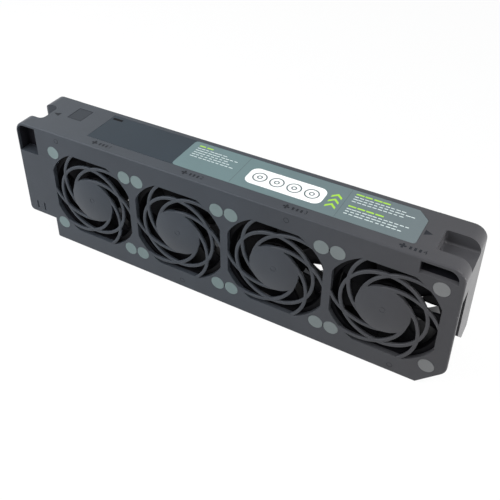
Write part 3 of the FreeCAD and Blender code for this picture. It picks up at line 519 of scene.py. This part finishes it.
def prism(work, outline, low, high):
    """Add a closed upright prism over a plane outline."""
    bottom = [work.verts.new((x, y, low)) for x, y in outline]
    top = [work.verts.new((x, y, high)) for x, y in outline]
    work.faces.new(list(reversed(bottom)))
    work.faces.new(top)
    join_loops(work, bottom, top)


def plain_mesh(work, name):
    """Turn a bmesh into a mesh and free it."""
    mesh = bpy.data.meshes.new(name)
    work.to_mesh(mesh)
    work.free()
    return mesh


def to_mesh(work, name):
    """Close a bmesh into a mesh with outward normals and sharp edges where it turns."""
    bmesh.ops.recalc_face_normals(work, faces=work.faces)
    mesh = plain_mesh(work, name)
    mesh.shade_smooth()
    mesh.set_sharp_from_angle(angle=crease_angle)
    return mesh


def on_front(x, z):
    """The move that stands flat work upright, its height coming out of the front at the given place."""
    return Matrix.Translation((x, front_y, z)) @ Matrix.Rotation(pi / 2, 4, "X")


print("helpers for solids ready")

# %% Assemble the guards
web_start = 162
web_reach = 13
web_steps = 8
bar_sink = 0.1 * MM
web_sink = 0.2 * MM
hub_profile = [(0, -0.03), (2.1, -0.03), (2.2, -0.28), (2.6, -0.28), (2.7, -0.03), (22.75, -0.03),
               (23, -0.15), (23.1, -0.4), (23.1, -3), (0, -3)]
hub_steps = 72
rim_inner = (49.4 * MM, 44.6 * MM)
rim_outer = (52.4 * MM, 46.0 * MM)
rim_back = -4.5 * MM
panel_back = -3.0 * MM


def root_web(turn):
    """The outline of a web between the hub and the middle line of one bar, at the given turn of that bar."""
    bends = [radians(web_start - web_reach * step / web_steps) for step in range(web_steps + 1)]
    middle = [Vector((bar_offset + bar_bend * cos(bend), bar_bend * sin(bend))) for bend in bends]
    inner = [point.normalized() * (hub_radius - bar_width / 2) for point in reversed(middle)]
    return [Matrix.Rotation(turn, 2) @ point for point in middle + inner]


for number, centre in zip(FANS, fan_centres):
    name = f"swirl_guard_{number}"
    guard = bmesh.new()
    guard.from_mesh(swirl)
    bmesh.ops.translate(guard, verts=guard.verts, vec=(0, 0, -bar_depth / 2 - bar_sink))
    lathe(guard, [(radius * MM, height * MM) for radius, height in hub_profile], hub_steps)
    for place in range(bar_count):
        prism(guard, root_web(bar_turn + tau * place / bar_count), -bar_depth + web_sink, -web_sink)
    rim_plate(guard, rim_inner, rim_outer, rim_back, panel_back)
    bmesh.ops.transform(guard, matrix=on_front(centre.x, centre.z), verts=guard.verts)
    piece = add_piece(name, to_mesh(guard, name), case_plastic)
    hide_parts(f"fan_guard_{number}")
print("guards", len(FANS), "faces each", len(piece.data.polygons))

# %% [markdown]
# ## Moulded-in marks
# The roof carries small sunk marks: a four-vane sign, three bars and a number over each fan, an arrowhead
# near each end and a plain square panel at the left. They are drawn as upright solids, which serve twice:
# once as the tool that cuts the marks into the mouldings, and once, thinner, as a darker fill at the bottom
# of each.

# %% Helpers for marks
sign_radius = 3.0 * MM
numeral_size = 6.2 * MM


def numeral_mesh(digit, low, high):
    """An upright solid numeral with its lower left corner at the origin."""
    curve = bpy.data.curves.new("numeral", "FONT")
    curve.body = digit
    curve.size = numeral_size
    curve.extrude = (high - low) / 2
    mesh = baked_mesh(add_object("numeral", curve), "numeral")
    mesh.transform(Matrix.Translation((0, 0, (high + low) / 2)))
    return mesh


def box_outline(left, right, low, high):
    return [(left, low), (right, low), (right, high), (left, high)]


def vane_sign(x, y):
    """The outline of a small fan with four swept vanes."""
    vane = [(0.26, -0.26), (0.5, -0.44), (0.96, -0.34), (1.0, 0.18), (0.62, 0.3)]
    turns = [radians(90 * quarter) for quarter in range(4)]
    ways = [(cos(turn), sin(turn)) for turn in turns]
    return [(x + sign_radius * (u * c - v * s), y + sign_radius * (u * s + v * c))
            for c, s in ways for u, v in vane]


print("sign of", 2 * sign_radius, "m, numerals of", numeral_size, "m")

# %% Draw the marks of the roof
sign_line = 6.9 * MM
sign_start = 6.3 * MM
stroke_start = 11.3 * MM
stroke_pitch = 3.7 * MM
stroke_thick = 2.0 * MM
stroke_half = 1.8 * MM
stroke_count = 3
numeral_start = 22.0 * MM
arrow_line = 30.0 * MM
arrowheads = [(-192.5 * MM, -185.5 * MM, 3.0 * MM), (181.0 * MM, 174.5 * MM, 3.4 * MM)]
square_edges = (-176.4 * MM, -160.1 * MM, front_y + 29.7 * MM, front_y + 49.2 * MM)
mark_depth = 0.3 * MM
merge_reach = 0.001 * MM


def roof_marks(low, high):
    """Signs, bars, numbers and arrowheads of the roof as upright solids between two heights."""
    work = bmesh.new()
    line = front_y + sign_line
    for number, centre in zip(FANS, fan_centres):
        prism(work, vane_sign(centre.x + sign_start, line), low, high)
        for stroke in range(stroke_count):
            left = centre.x + stroke_start + stroke * stroke_pitch
            bar = box_outline(left, left + stroke_thick, line - stroke_half, line + stroke_half)
            prism(work, bar, low, high)
        digit = numeral_mesh(str(number), low, high)
        digit.transform(Matrix.Translation((centre.x + numeral_start, line - stroke_half, 0)))
        work.from_mesh(digit)
    for tip, base, half in arrowheads:
        middle = front_y + arrow_line
        prism(work, [(tip, middle), (base, middle - half), (base, middle + half)], low, high)
    bmesh.ops.remove_doubles(work, verts=work.verts, dist=merge_reach)
    return to_mesh(work, "roof_marks")


def square_panel(low, high, inset=0):
    """The plain square at the left of the roof, smaller all round by the inset."""
    work = bmesh.new()
    left, right, near, far = square_edges
    prism(work, box_outline(left + inset, right - inset, near + inset, far - inset), low, high)
    return to_mesh(work, "square_panel")


def cutter(name, shapes, middle):
    """One cutting tool from several sets of marks, about a middle height."""
    work = bmesh.new()
    for shape in shapes:
        work.from_mesh(shape(middle - mark_depth, middle + mark_depth))
    return to_mesh(work, name)


roof_cutter = cutter("roof_cutter", (roof_marks, square_panel), roof_z)
print("roof marks", len(roof_cutter.polygons), "faces")

# %% [markdown]
# The front has faint round gate marks where the plastic was fed, and a nick between each two neighbouring
# isolators. They are drawn lying flat and then stood up on the front. The dark fill in each gate mark and the
# black fill in each nick are painted shade, for the shade in these small hollows.

# %% Draw the marks of the front
gate_places = [(-166.0 * MM, 120.0 * MM), (72.2 * MM, 120.0 * MM), (-31.9 * MM, 8.3 * MM),
               (171.4 * MM, 7.5 * MM)]
gate_inner = 2.0 * MM
gate_outer = 2.5 * MM
gate_steps = 28
hole_spacing = 82.5 * MM
nick_half_width = 0.55 * MM
nick_half_height = 1.2 * MM
unclipped = 1


def stand_on_front(work, x, z):
    bmesh.ops.transform(work, matrix=on_front(x, z), verts=work.verts)
    return plain_mesh(work, "mark")


def gate_marks(low, high):
    """Thin rings on the front where the plastic was fed into the mould."""
    marks = bmesh.new()
    for x, z in gate_places:
        ring = bmesh.new()
        rim_plate(ring, (gate_inner, unclipped), (gate_outer, unclipped), low, high, gate_steps)
        marks.from_mesh(stand_on_front(ring, x, z))
    return to_mesh(marks, "gate_marks")


def isolator_nicks(low, high):
    """Small upright nicks halfway between the isolators of neighbouring fans."""
    marks = bmesh.new()
    outline = box_outline(-nick_half_width, nick_half_width, -nick_half_height, nick_half_height)
    for left, right in zip(fan_centres, fan_centres[1:]):
        for up in (-hole_spacing / 2, hole_spacing / 2):
            nick = bmesh.new()
            prism(nick, outline, low, high)
            marks.from_mesh(stand_on_front(nick, (left.x + right.x) / 2, left.z + up))
    return to_mesh(marks, "isolator_nicks")


front_cutter = cutter("front_cutter", (gate_marks, isolator_nicks), 0)
print("front marks", len(front_cutter.polygons), "faces")

# %% [markdown]
# ## Soft edges
# A moulding has no perfectly sharp edge, and a narrow bevel catches the light as the real edges do. Edges in
# a plane where two mouldings meet flush stay sharp, so that no groove opens there. The CAD model is a mesh of
# triangles, so each copy first has its flat faces joined. Then it is bevelled, the marks are cut with a
# Boolean, and its normals are evened so that large faces shade flat.

# %% Helpers that join faces and choose edges
flat_angle = radians(0.5)
bevel_angle = radians(40)
plane_reach = 0.01 * MM
joint_planes = [(0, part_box("top_cover")[0].x), (0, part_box("top_cover")[1].x),
                (1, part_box("front_panel")[1].y)]


def on_joint(edge):
    """True for an edge in a plane where two mouldings of the case meet without a step."""
    ends = [vertex.co for vertex in edge.verts]
    return any(all(abs(end[axis] - place) < plane_reach for end in ends) for axis, place in joint_planes)


def whole_faces(mesh, name, reach):
    """A copy of a mesh whose points are merged within the reach and whose flat faces are joined."""
    work = bmesh.new()
    work.from_mesh(mesh)
    bmesh.ops.remove_doubles(work, verts=work.verts, dist=reach)
    bmesh.ops.dissolve_limit(work, angle_limit=flat_angle, verts=work.verts, edges=work.edges)
    return plain_mesh(work, name)


def joined_copy(name):
    return whole_faces(nodes[name].data, f"{name}_soft", merge_reach)


def mark_edges(mesh):
    """Mark the sharp, free edges of a mesh for a bevel."""
    work = bmesh.new()
    work.from_mesh(mesh)
    weight = work.edges.layers.float.new("bevel_weight_edge")
    for edge in work.edges:
        sharp = edge.is_manifold and edge.calc_face_angle() > bevel_angle
        edge[weight] = 1.0 if sharp and not on_joint(edge) else 0.0
    work.to_mesh(mesh)
    work.free()
    mesh.shade_smooth()
    return mesh


print("joint planes", len(joint_planes))

# %% Helpers that soften and cut
edge_softness = 0.25 * MM
sharp_angle = radians(50)
sliver = MM / 2000


def combine(mesh, other, operation):
    """A new mesh: the union of two solids, or the first less the second."""
    solid = add_object("solid", mesh)
    tool = add_object("tool", other)
    step = solid.modifiers.new("combine", "BOOLEAN")
    step.operation = operation
    step.solver = "EXACT"
    step.object = tool
    result = baked_mesh(solid, mesh.name)
    bpy.data.objects.remove(tool)
    return result


def even_normals(mesh):
    """The mesh with normals that follow the largest face on their side of the sharp edges."""
    work = bmesh.new()
    work.from_mesh(mesh)
    bmesh.ops.dissolve_degenerate(work, dist=sliver, edges=work.edges)
    for edge in work.edges:
        edge.smooth = edge.calc_face_angle(0) < sharp_angle
    work.to_mesh(mesh)
    work.free()
    holder = add_object("even", mesh)
    even = holder.modifiers.new("even", "WEIGHTED_NORMAL")
    even.keep_sharp = True
    even.weight = 100
    return baked_mesh(holder, mesh.name)


def soften(name, tool=None, solid=None):
    """Replace a CAD node by a copy, or by the given solid, with softened edges and marks cut into it."""
    holder = add_object(f"{name}_holder", mark_edges(solid or joined_copy(name)))
    edge = holder.modifiers.new("edges", "BEVEL")
    edge.width = edge_softness
    edge.segments = 2
    edge.limit_method = "WEIGHT"
    mesh = baked_mesh(holder, f"{name}_soft")
    if tool:
        mesh = combine(mesh, tool, "DIFFERENCE")
    piece = add_piece(f"{name}_soft", even_normals(mesh), case_plastic)
    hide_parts(name)
    return piece


print("edges are softened by", round(edge_softness / MM, 2), "mm")

# %% Soften the mouldings and fill the marks
square_line = 0.7 * MM
line_fill = 0.04 * MM
fill_top = 0.12 * MM
fill_low = mark_depth + 0.02 * MM
soften("front_panel", front_cutter)
soften("top_cover", roof_cutter.copy())
soften("base_tray")
fills = [
    ("roof_mark_fill", roof_marks(roof_z - fill_low, roof_z - fill_top), mark_ink_and_painted_shade),
    ("square_line_fill", square_panel(roof_z - fill_low, roof_z - mark_depth + line_fill), mark_ink_and_painted_shade),
    ("square_panel_fill", square_panel(roof_z - fill_low, roof_z - fill_top, square_line), panel_shade),
    # the fills of the gate marks and of the nicks are painted shade in these small hollows
    ("gate_mark_fill", gate_marks(-fill_low, -fill_top), mark_ink_and_painted_shade),
    ("isolator_nick_fill", isolator_nicks(-fill_low, -fill_top), slot_painted_shade)]
for name, mesh, material in fills:
    add_piece(name, mesh, material)

# %% [markdown]
# ## Grips
# Each end has a grip: a thumb scoop in the roof, open to the end, and a finger pocket in the front. The scoop
# has a flat floor, a round foot, round inner corners and, on the left, a back that flares at the end. In the
# copy of each end the CAD model's scoop is filled up to the rounded outline of the case, and the new scoop is
# cut into it. The right pocket gets a flat floor as well. Little light reaches into a pocket, so its walls
# and ceiling are painted darker as painted shade, and in the low right pocket the floor is painted so too.

# %% Helpers for the scoops
end_x = cad_box[1].x
end_round = 11.5 * MM
end_steps = 17
rail_x = 209 * MM
rail_low = 110.5 * MM
filler_low = 112.5 * MM
filler_gap = 0.02 * MM
filler_front = 18 * MM
filler_back = 46.5 * MM
scoop_round = 2.2 * MM
scoop_steps = 5
touch = MM / 10


def corner_arc(u, v, radius, start, steps=6):
    turns = [radians(start + 90 * step / steps) for step in range(steps + 1)]
    return [(u + radius * cos(turn), v + radius * sin(turn)) for turn in turns]


def front_prism(outline, back, front):
    """A solid over an outline of the front, between two depths behind it."""
    work = bmesh.new()
    prism(work, outline, -back, -front)
    bmesh.ops.recalc_face_normals(work, faces=work.faces)
    return stand_on_front(work, 0, 0)


def end_filler(side, inner):
    """A solid inside the upper outline of one end (side is -1 or 1) that fills the CAD model's scoop."""
    places = [(inner, filler_low), (rail_x, filler_low), (rail_x, rail_low), (end_x - filler_gap, rail_low)]
    places += corner_arc(end_x - end_round, roof_z - end_round, end_round - filler_gap, 0, end_steps)
    places += [(inner, roof_z - filler_gap)]
    return front_prism([(side * x, z) for x, z in places], filler_back, filler_front)


def in_foot(edge, floor, front):
    """True for an edge of a scoop's floor, apart from the one at the front and the one past the end."""
    ends = [vertex.co for vertex in edge.verts]
    on_floor = all(abs(end.z - floor) < touch for end in ends)
    before_end = any(abs(end.x) < end_x - touch for end in ends)
    return on_floor and before_end and any(end.y > front_y + front + touch for end in ends)


def scoop_box(side, inner, front, back, bend, floor, flare):
    """The space of one thumb scoop: round inner corners, a round foot and a back that flares at the end."""
    outer = end_x + scoop_round * 2
    places = [(outer, front), (outer, back + flare)]
    places += list(reversed(corner_arc(end_x - flare, back + flare, flare, 270)))
    places += corner_arc(inner + bend, back - bend, bend, 90)
    places += corner_arc(inner + bend, front + bend, bend, 180)
    work = bmesh.new()
    prism(work, [(side * x, front_y + y) for x, y in places], floor, roof_z + scoop_round)
    bmesh.ops.recalc_face_normals(work, faces=work.faces)
    foot = [edge for edge in work.edges if in_foot(edge, floor, front)]
    bmesh.ops.bevel(work, geom=foot, offset=scoop_round, offset_type="OFFSET", segments=scoop_steps,
                    profile=0.5, affect="EDGES")
    return plain_mesh(work, "scoop")


print("grips end at", round(end_x / MM, 1), "mm from the middle")

# %% Helpers for the pockets
pocket_start = 2 * MM
pocket_front = 3.3 * MM
pocket_back = 13.4 * MM
pocket_steps = 12
pocket_margin = 0.2 * MM


def pocket_box(left, right, low, high, bend):
    """The space of a finger pocket, with a flat floor and the round corner of its mouth."""
    places = [(left, low), (right, low)]
    places += corner_arc(right - bend, high - bend, bend, 0, pocket_steps) + [(left, high)]
    return front_prism(places, pocket_back, pocket_start)


def shade_pocket(piece, left, right, low, high, floor_slope):
    """Paint the faces of a pocket, up to the given slope of its floor, with the darker colour of painted
    shade.
    """
    piece.data.materials.append(pocket_painted_shade)
    corner = Vector((left, front_y + pocket_front, low))
    other = Vector((right, front_y + pocket_back, high))
    for face in piece.data.polygons:
        sides = zip(corner, face.center, other)
        within = all(a - pocket_margin < c < b + pocket_margin for a, c, b in sides)
        if within and face.normal.z < floor_slope:
            face.material_index = 1


print("pockets are", round(pocket_back / MM, 1), "mm deep")

# %% Shape the grips
left_pocket = (-214.4 * MM, -192.1 * MM, 96 * MM, 125 * MM)
right_pocket = (181.65 * MM, 211.25 * MM, 113.8 * MM, 125.05 * MM)
right_pocket_bend = 8.55 * MM
steep = 0.5
any_slope = 2
left_scoop = {"inner": 195.4 * MM, "front": 15.6 * MM, "back": 40.7 * MM, "bend": 5.0 * MM,
              "floor": 110.5 * MM, "flare": 6.0 * MM}
right_scoop = {"inner": 188.2 * MM, "front": 15.0 * MM, "back": 41.0 * MM, "bend": 2.3 * MM,
               "floor": 116.4 * MM, "flare": 0.2 * MM}
grips = [("left_end", -1, 194 * MM, left_scoop, (*left_pocket, steep)),
         ("right_end", 1, 187 * MM, right_scoop, (*right_pocket, any_slope))]
for name, side, filler_inner, scoop, pocket in grips:
    grip = combine(joined_copy(name), end_filler(side, filler_inner), "UNION")
    grip = combine(grip, scoop_box(side, **scoop), "DIFFERENCE")
    if name == "right_end":
        grip = combine(grip, pocket_box(*right_pocket, right_pocket_bend), "DIFFERENCE")
    grip = whole_faces(grip, f"{name}_soft", 2 * filler_gap)
    piece = soften(name, roof_cutter.copy(), grip)
    # the pocket's inside faces get the colour of painted shade
    shade_pocket(piece, *pocket)
    print(name, len(piece.data.polygons), "faces")

# %% [markdown]
# ## Label
# The long roof label is two films side by side: a dark blank one with a small slot, drawn on it as a black
# sheet of painted shade, and a light one with rounded corners. The light film has a generic print in white,
# green and a darker line colour: a badge with four rings for the row of fans, chevrons for the way of the air
# and blocks of dashes in place of text. Each print is a skin a twentieth of a millimetre thick that lies on
# the film.

# %% Print the label
film_low, film_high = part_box("instruction_label")
film_depth = (film_high.y - film_low.y) / MM
film_round = 3.5
print_low = film_high.z - 0.02 * MM
print_top = film_high.z + 0.03 * MM
badge_left, badge_right, badge_low, badge_high = 66, 136, 8, 31
badge_round = 7
chevron_left, chevron_low, chevron_pitch = 140, 9.5, 7
chevron_width, chevron_rise, chevron_thick = 9, 4, 2.6
chevron_count = 3
divider_places = (57, 152)
divider_width = 0.5
divider_inset = 1


def on_label(u, v):
    """A place on the light film in millimetres, u to the right and v to the back of its front left corner."""
    return film_low.x + u * MM, film_low.y + v * MM


def print_shapes(name, outlines, material):
    work = bmesh.new()
    for shape in outlines:
        prism(work, [on_label(u, v) for u, v in shape], print_low, print_top)
    add_piece(name, to_mesh(work, name), material)


def rounded_outline(left, right, low, high, radius):
    centres = box_outline(left + radius, right - radius, low + radius, high - radius)
    arcs = [corner_arc(*centres[(2 + quarter) % 4], radius, 90 * quarter) for quarter in range(4)]
    return [point for arc in arcs for point in arc]


def chevron(u, v):
    tip = u + chevron_width / 2
    far = u + chevron_width
    return [(u, v), (tip, v + chevron_rise), (far, v), (far, v + chevron_thick),
            (tip, v + chevron_rise + chevron_thick), (u, v + chevron_thick)]


front_corner = [(0, 0)] + corner_arc(film_round, film_round, film_round, 180)
back_corner = [(0, film_depth)] + corner_arc(film_round, film_depth - film_round, film_round, 90)
badge = rounded_outline(badge_left, badge_right, badge_low, badge_high, badge_round)
chevrons = [chevron(chevron_left, chevron_low + chevron_pitch * step) for step in range(chevron_count)]
divider_ends = (divider_inset, film_depth - divider_inset)
dividers = [box_outline(u, u + divider_width, *divider_ends) for u in divider_places]
print_shapes("film_corners", [front_corner, back_corner], dark_film)
print_shapes("label_badge", [badge], label_white)
print_shapes("label_chevrons", chevrons, label_green)
print_shapes("label_dividers", dividers, label_line)
print("label", [round(size / MM, 1) for size in film_high - film_low])

# %% Print the rings and the painted shade of the slot
ring_pitch = 16
ring_sizes = ((5.4 * MM, 6.6 * MM), (1.4 * MM, 2.5 * MM))
ring_low = print_top - 0.01 * MM
ring_top = print_top + 0.02 * MM
print_steps = 40
badge_middle = ((badge_left + badge_right) / 2, (badge_low + badge_high) / 2)
slot_place = box_outline(-136.2 * MM, -125.4 * MM, front_y + 47.9 * MM, front_y + 51.1 * MM)
rings = bmesh.new()
for place in range(len(FANS)):
    ring_u = badge_middle[0] + ring_pitch * (place - (len(FANS) - 1) / 2)
    move = Matrix.Translation((*on_label(ring_u, badge_middle[1]), 0))
    for inner, outer in ring_sizes:
        ring = bmesh.new()
        rim_plate(ring, (inner, unclipped), (outer, unclipped), ring_low, ring_top, print_steps)
        bmesh.ops.transform(ring, matrix=move, verts=ring.verts)
        rings.from_mesh(plain_mesh(ring, "ring"))
add_piece("label_rings", to_mesh(rings, "label_rings"), label_line)
# the slot is drawn as a thin black sheet: painted shade
slot_shade_sheet = bmesh.new()
prism(slot_shade_sheet, slot_place, print_low, print_top)
add_piece("slot_shade_sheet", to_mesh(slot_shade_sheet, "slot_shade_sheet"), slot_painted_shade)
print("rings", len(FANS) * len(ring_sizes))

# %% [markdown]
# The blocks of dashes repeat in rows and columns, so a node tree grows them. It lays out a grid, keeps a
# random number of dashes in each row and gives each a random length, so the rows look like lines of text of
# uneven length. A fixed seed keeps them the same at each run.

# %% Define the tree of dashes


def grid_points(tree, across, up, pitch_across, pitch_up):
    """The points of a grid, centred on the origin, and its width and height."""
    width = tree.times(tree.maths("SUBTRACT", across, 1.0), pitch_across)
    height = tree.times(tree.maths("SUBTRACT", up, 1.0), pitch_up)
    grid = tree.add("GeometryNodeMeshGrid", {
        "Size X": width, "Size Y": height, "Vertices X": across, "Vertices Y": up})
    return grid, width, height


def dash_tree():
    tree = ShapeTree("dash_block", {
        "Int": ["Rows", "Dashes", "Fewest", "Seed"], "Material": ["Finish"],
        "Float": ["Row pitch", "Dash pitch", "Shortest", "Longest", "Height", "Thickness"]})
    source = tree.inputs
    points, width, height = grid_points(
        tree, source["Dashes"], source["Rows"], source["Dash pitch"], source["Row pitch"])
    index = tree.add("GeometryNodeInputIndex")
    row = tree.maths("MODULO", index, source["Rows"])
    column = tree.maths("FLOOR", tree.maths("DIVIDE", index, source["Rows"]), 0.0)
    count = tree.add("FunctionNodeRandomValue", {
        "Min": source["Fewest"], "Max": source["Dashes"], "ID": row, "Seed": source["Seed"]}, data_type="INT")
    length = tree.add("FunctionNodeRandomValue", {
        "Min": source["Shortest"], "Max": source["Longest"], "Seed": source["Seed"]}, data_type="FLOAT")
    scale = tree.vector(length.outputs[1], source["Height"], source["Thickness"])
    placed = tree.moved(points, tree.vector(tree.times(width, 0.5), tree.times(height, -0.5)))
    dash = tree.moved(tree.add("GeometryNodeMeshCube", {"Size": (1, 1, 1)}), (0.5, 0, 0))
    kept = tree.maths("LESS_THAN", column, count.outputs[2])
    dashes = tree.add("GeometryNodeInstanceOnPoints", {
        "Points": placed, "Selection": kept, "Instance": dash, "Scale": scale})
    return tree.finish(dashes, source["Finish"])


grow_dashes = dash_tree()
print("tree of dashes", len(grow_dashes.nodes), "nodes")

# %% Grow the blocks of dashes
text_block = {
    "Fewest": 7, "Row pitch": 3.3 * MM, "Dash pitch": 4.4 * MM, "Shortest": 2.6 * MM, "Longest": 4.0 * MM,
    "Height": 0.9 * MM, "Finish": text_white}
heading_block = {
    "Rows": 1, "Row pitch": 3 * MM, "Dash pitch": 7.6 * MM, "Shortest": 6.0 * MM, "Longest": 7.0 * MM,
    "Height": 1.6 * MM, "Finish": label_green}
dash_blocks = [
    (7, 36.4, {**heading_block, "Dashes": 2, "Fewest": 2, "Seed": 2}),
    (7, 32.6, {**text_block, "Rows": 5, "Dashes": 10, "Seed": 3}),
    (157, 37, {**heading_block, "Dashes": 4, "Fewest": 4, "Seed": 4}),
    (157, 33.2, {**text_block, "Rows": 3, "Dashes": 12, "Seed": 5}),
    (157, 19.6, {**heading_block, "Dashes": 4, "Fewest": 4, "Seed": 6}),
    (157, 15.8, {**text_block, "Rows": 3, "Dashes": 12, "Seed": 8})]
for index, (u, v, values) in enumerate(dash_blocks, 1):
    block = grow_nodes(f"label_dashes_{index}", grow_dashes, {**values, "Thickness": print_top - print_low})
    block.transform(Matrix.Translation((*on_label(u, v), (print_low + print_top) / 2)))
    add_piece(f"label_dashes_{index}", block, values["Finish"])
    print(block.name, len(block.polygons) // 6, "dashes")

# %% [markdown]
# ## Screws and contacts
# Six flat-headed screws hold the rear cover to the bosses of the tray and the roof. Their heads lie in round
# seats, just under the rear face. In the floor of the left bay, the plug's twelve holes are lined with plated
# sockets. Both repeat on a grid, so a node tree makes one head or one socket, with its recess cut by a
# Boolean, and places the rest.

# %% Helpers for grids of small pieces


def grid_tree(name, make_one):
    """A tree that sets copies of one small solid on a grid of the given counts and pitches."""
    tree = ShapeTree(name, {
        "Int": ["Across", "Up"], "Float": ["Pitch across", "Pitch up", "Radius", "Depth"],
        "Material": ["Finish"]})
    source = tree.inputs
    points = grid_points(tree, source["Across"], source["Up"], source["Pitch across"], source["Pitch up"])[0]
    copies = tree.add("GeometryNodeInstanceOnPoints", {"Points": points, "Instance": make_one(tree)})
    return tree.finish(copies, source["Finish"])


def box_node(tree, across, along, deep):
    return tree.add("GeometryNodeMeshCube", {"Size": tree.vector(across, along, deep)})


def cut_node(tree, solid, *cutters):
    cut = tree.add("GeometryNodeMeshBoolean", {"Mesh 1": solid, "Self Intersection": True},
                   operation="DIFFERENCE", solver="EXACT")
    for cutter in cutters:
        tree.fill(cut, {"Mesh 2": cutter})
    return cut


print("grid helpers ready")

# %% Sink the screws into the rear cover
rear_y = cad_box[1].y
seat_radius = 2.8 * MM
seat_depth = 1.4 * MM
head_radius = 2.5 * MM
head_depth = 1.1 * MM
head_sink = 0.15 * MM
rim_share = 0.9
wing_share = 1.25
blade_share = 0.28
screw_steps = 32
fan_pitch = fan_centres[1].x - fan_centres[0].x
boss_inset = 6.0 * MM
screw_middle = Vector((fan_centres[1].x, rear_y, roof_z / 2))
screw_rise = roof_z - 2 * boss_inset
on_rear = Matrix.Translation(screw_middle) @ Matrix.Rotation(-pi / 2, 4, "X")


def screw_head(tree):
    """A flat head with a chamfered rim and a cross recess, its top at zero height."""
    radius, depth = tree.inputs["Radius"], tree.inputs["Depth"]
    rim = tree.times(radius, rim_share)
    cone = tree.add("GeometryNodeMeshCone", {
        "Vertices": screw_steps, "Radius Top": rim, "Radius Bottom": radius, "Depth": depth})
    head = tree.moved(cone, tree.vector(z=tree.times(depth, -1.0)))
    wing = tree.times(radius, wing_share)
    blade = tree.times(radius, blade_share)
    return cut_node(tree, head, box_node(tree, wing, blade, depth), box_node(tree, blade, wing, depth))


seats = bmesh.new()
angles = [tau * step / screw_steps for step in range(screw_steps)]
for across in (-fan_pitch, 0, fan_pitch):
    for up in (-screw_rise / 2, screw_rise / 2):
        outline = [(across + seat_radius * cos(a), up + seat_radius * sin(a)) for a in angles]
        prism(seats, outline, -seat_depth, seat_depth)
bmesh.ops.transform(seats, matrix=on_rear, verts=seats.verts)
soften("rear_cover", to_mesh(seats, "screw_seats"))
heads = grow_nodes("rear_screws", grid_tree("screw_grid", screw_head), {
    "Across": 3, "Up": 2, "Pitch across": fan_pitch, "Pitch up": screw_rise, "Radius": head_radius,
    "Depth": head_depth, "Finish": screw_zinc})
heads.transform(on_rear @ Matrix.Translation((0, 0, -head_sink)))
add_piece("rear_screws", heads, screw_zinc)
print("screws", len(heads.polygons), "faces")

# %% Line the holes of the plug
plug_low, plug_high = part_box("blind_connector")
plug_middle = (plug_low + plug_high) / 2
contact_columns = 2
contact_count = 6
contact_pitch = 4.2 * MM
contact_spacing = 4.0 * MM
socket_half = 0.95 * MM
socket_depth = 6.5 * MM
socket_lift = 0.6 * MM
bore_share = 1.3
bore_reach = 1.5


def plated_socket(tree):
    """A square tube open at both ends."""
    outer = tree.times(tree.inputs["Radius"], 2.0)
    inner = tree.times(tree.inputs["Radius"], bore_share)
    longer = tree.times(tree.inputs["Depth"], bore_reach)
    block = box_node(tree, outer, outer, tree.inputs["Depth"])
    return cut_node(tree, block, box_node(tree, inner, inner, longer))


sockets = grow_nodes("plug_contacts", grid_tree("contact_grid", plated_socket), {
    "Across": contact_columns, "Up": contact_count, "Pitch across": contact_spacing,
    "Pitch up": contact_pitch, "Radius": socket_half, "Depth": socket_depth, "Finish": contact_gold})
socket_z = plug_low.z + socket_lift + socket_depth / 2
sockets.transform(Matrix.Translation((plug_middle.x, plug_middle.y, socket_z)))
add_piece("plug_contacts", sockets, contact_gold)
print("contacts", contact_columns * contact_count)
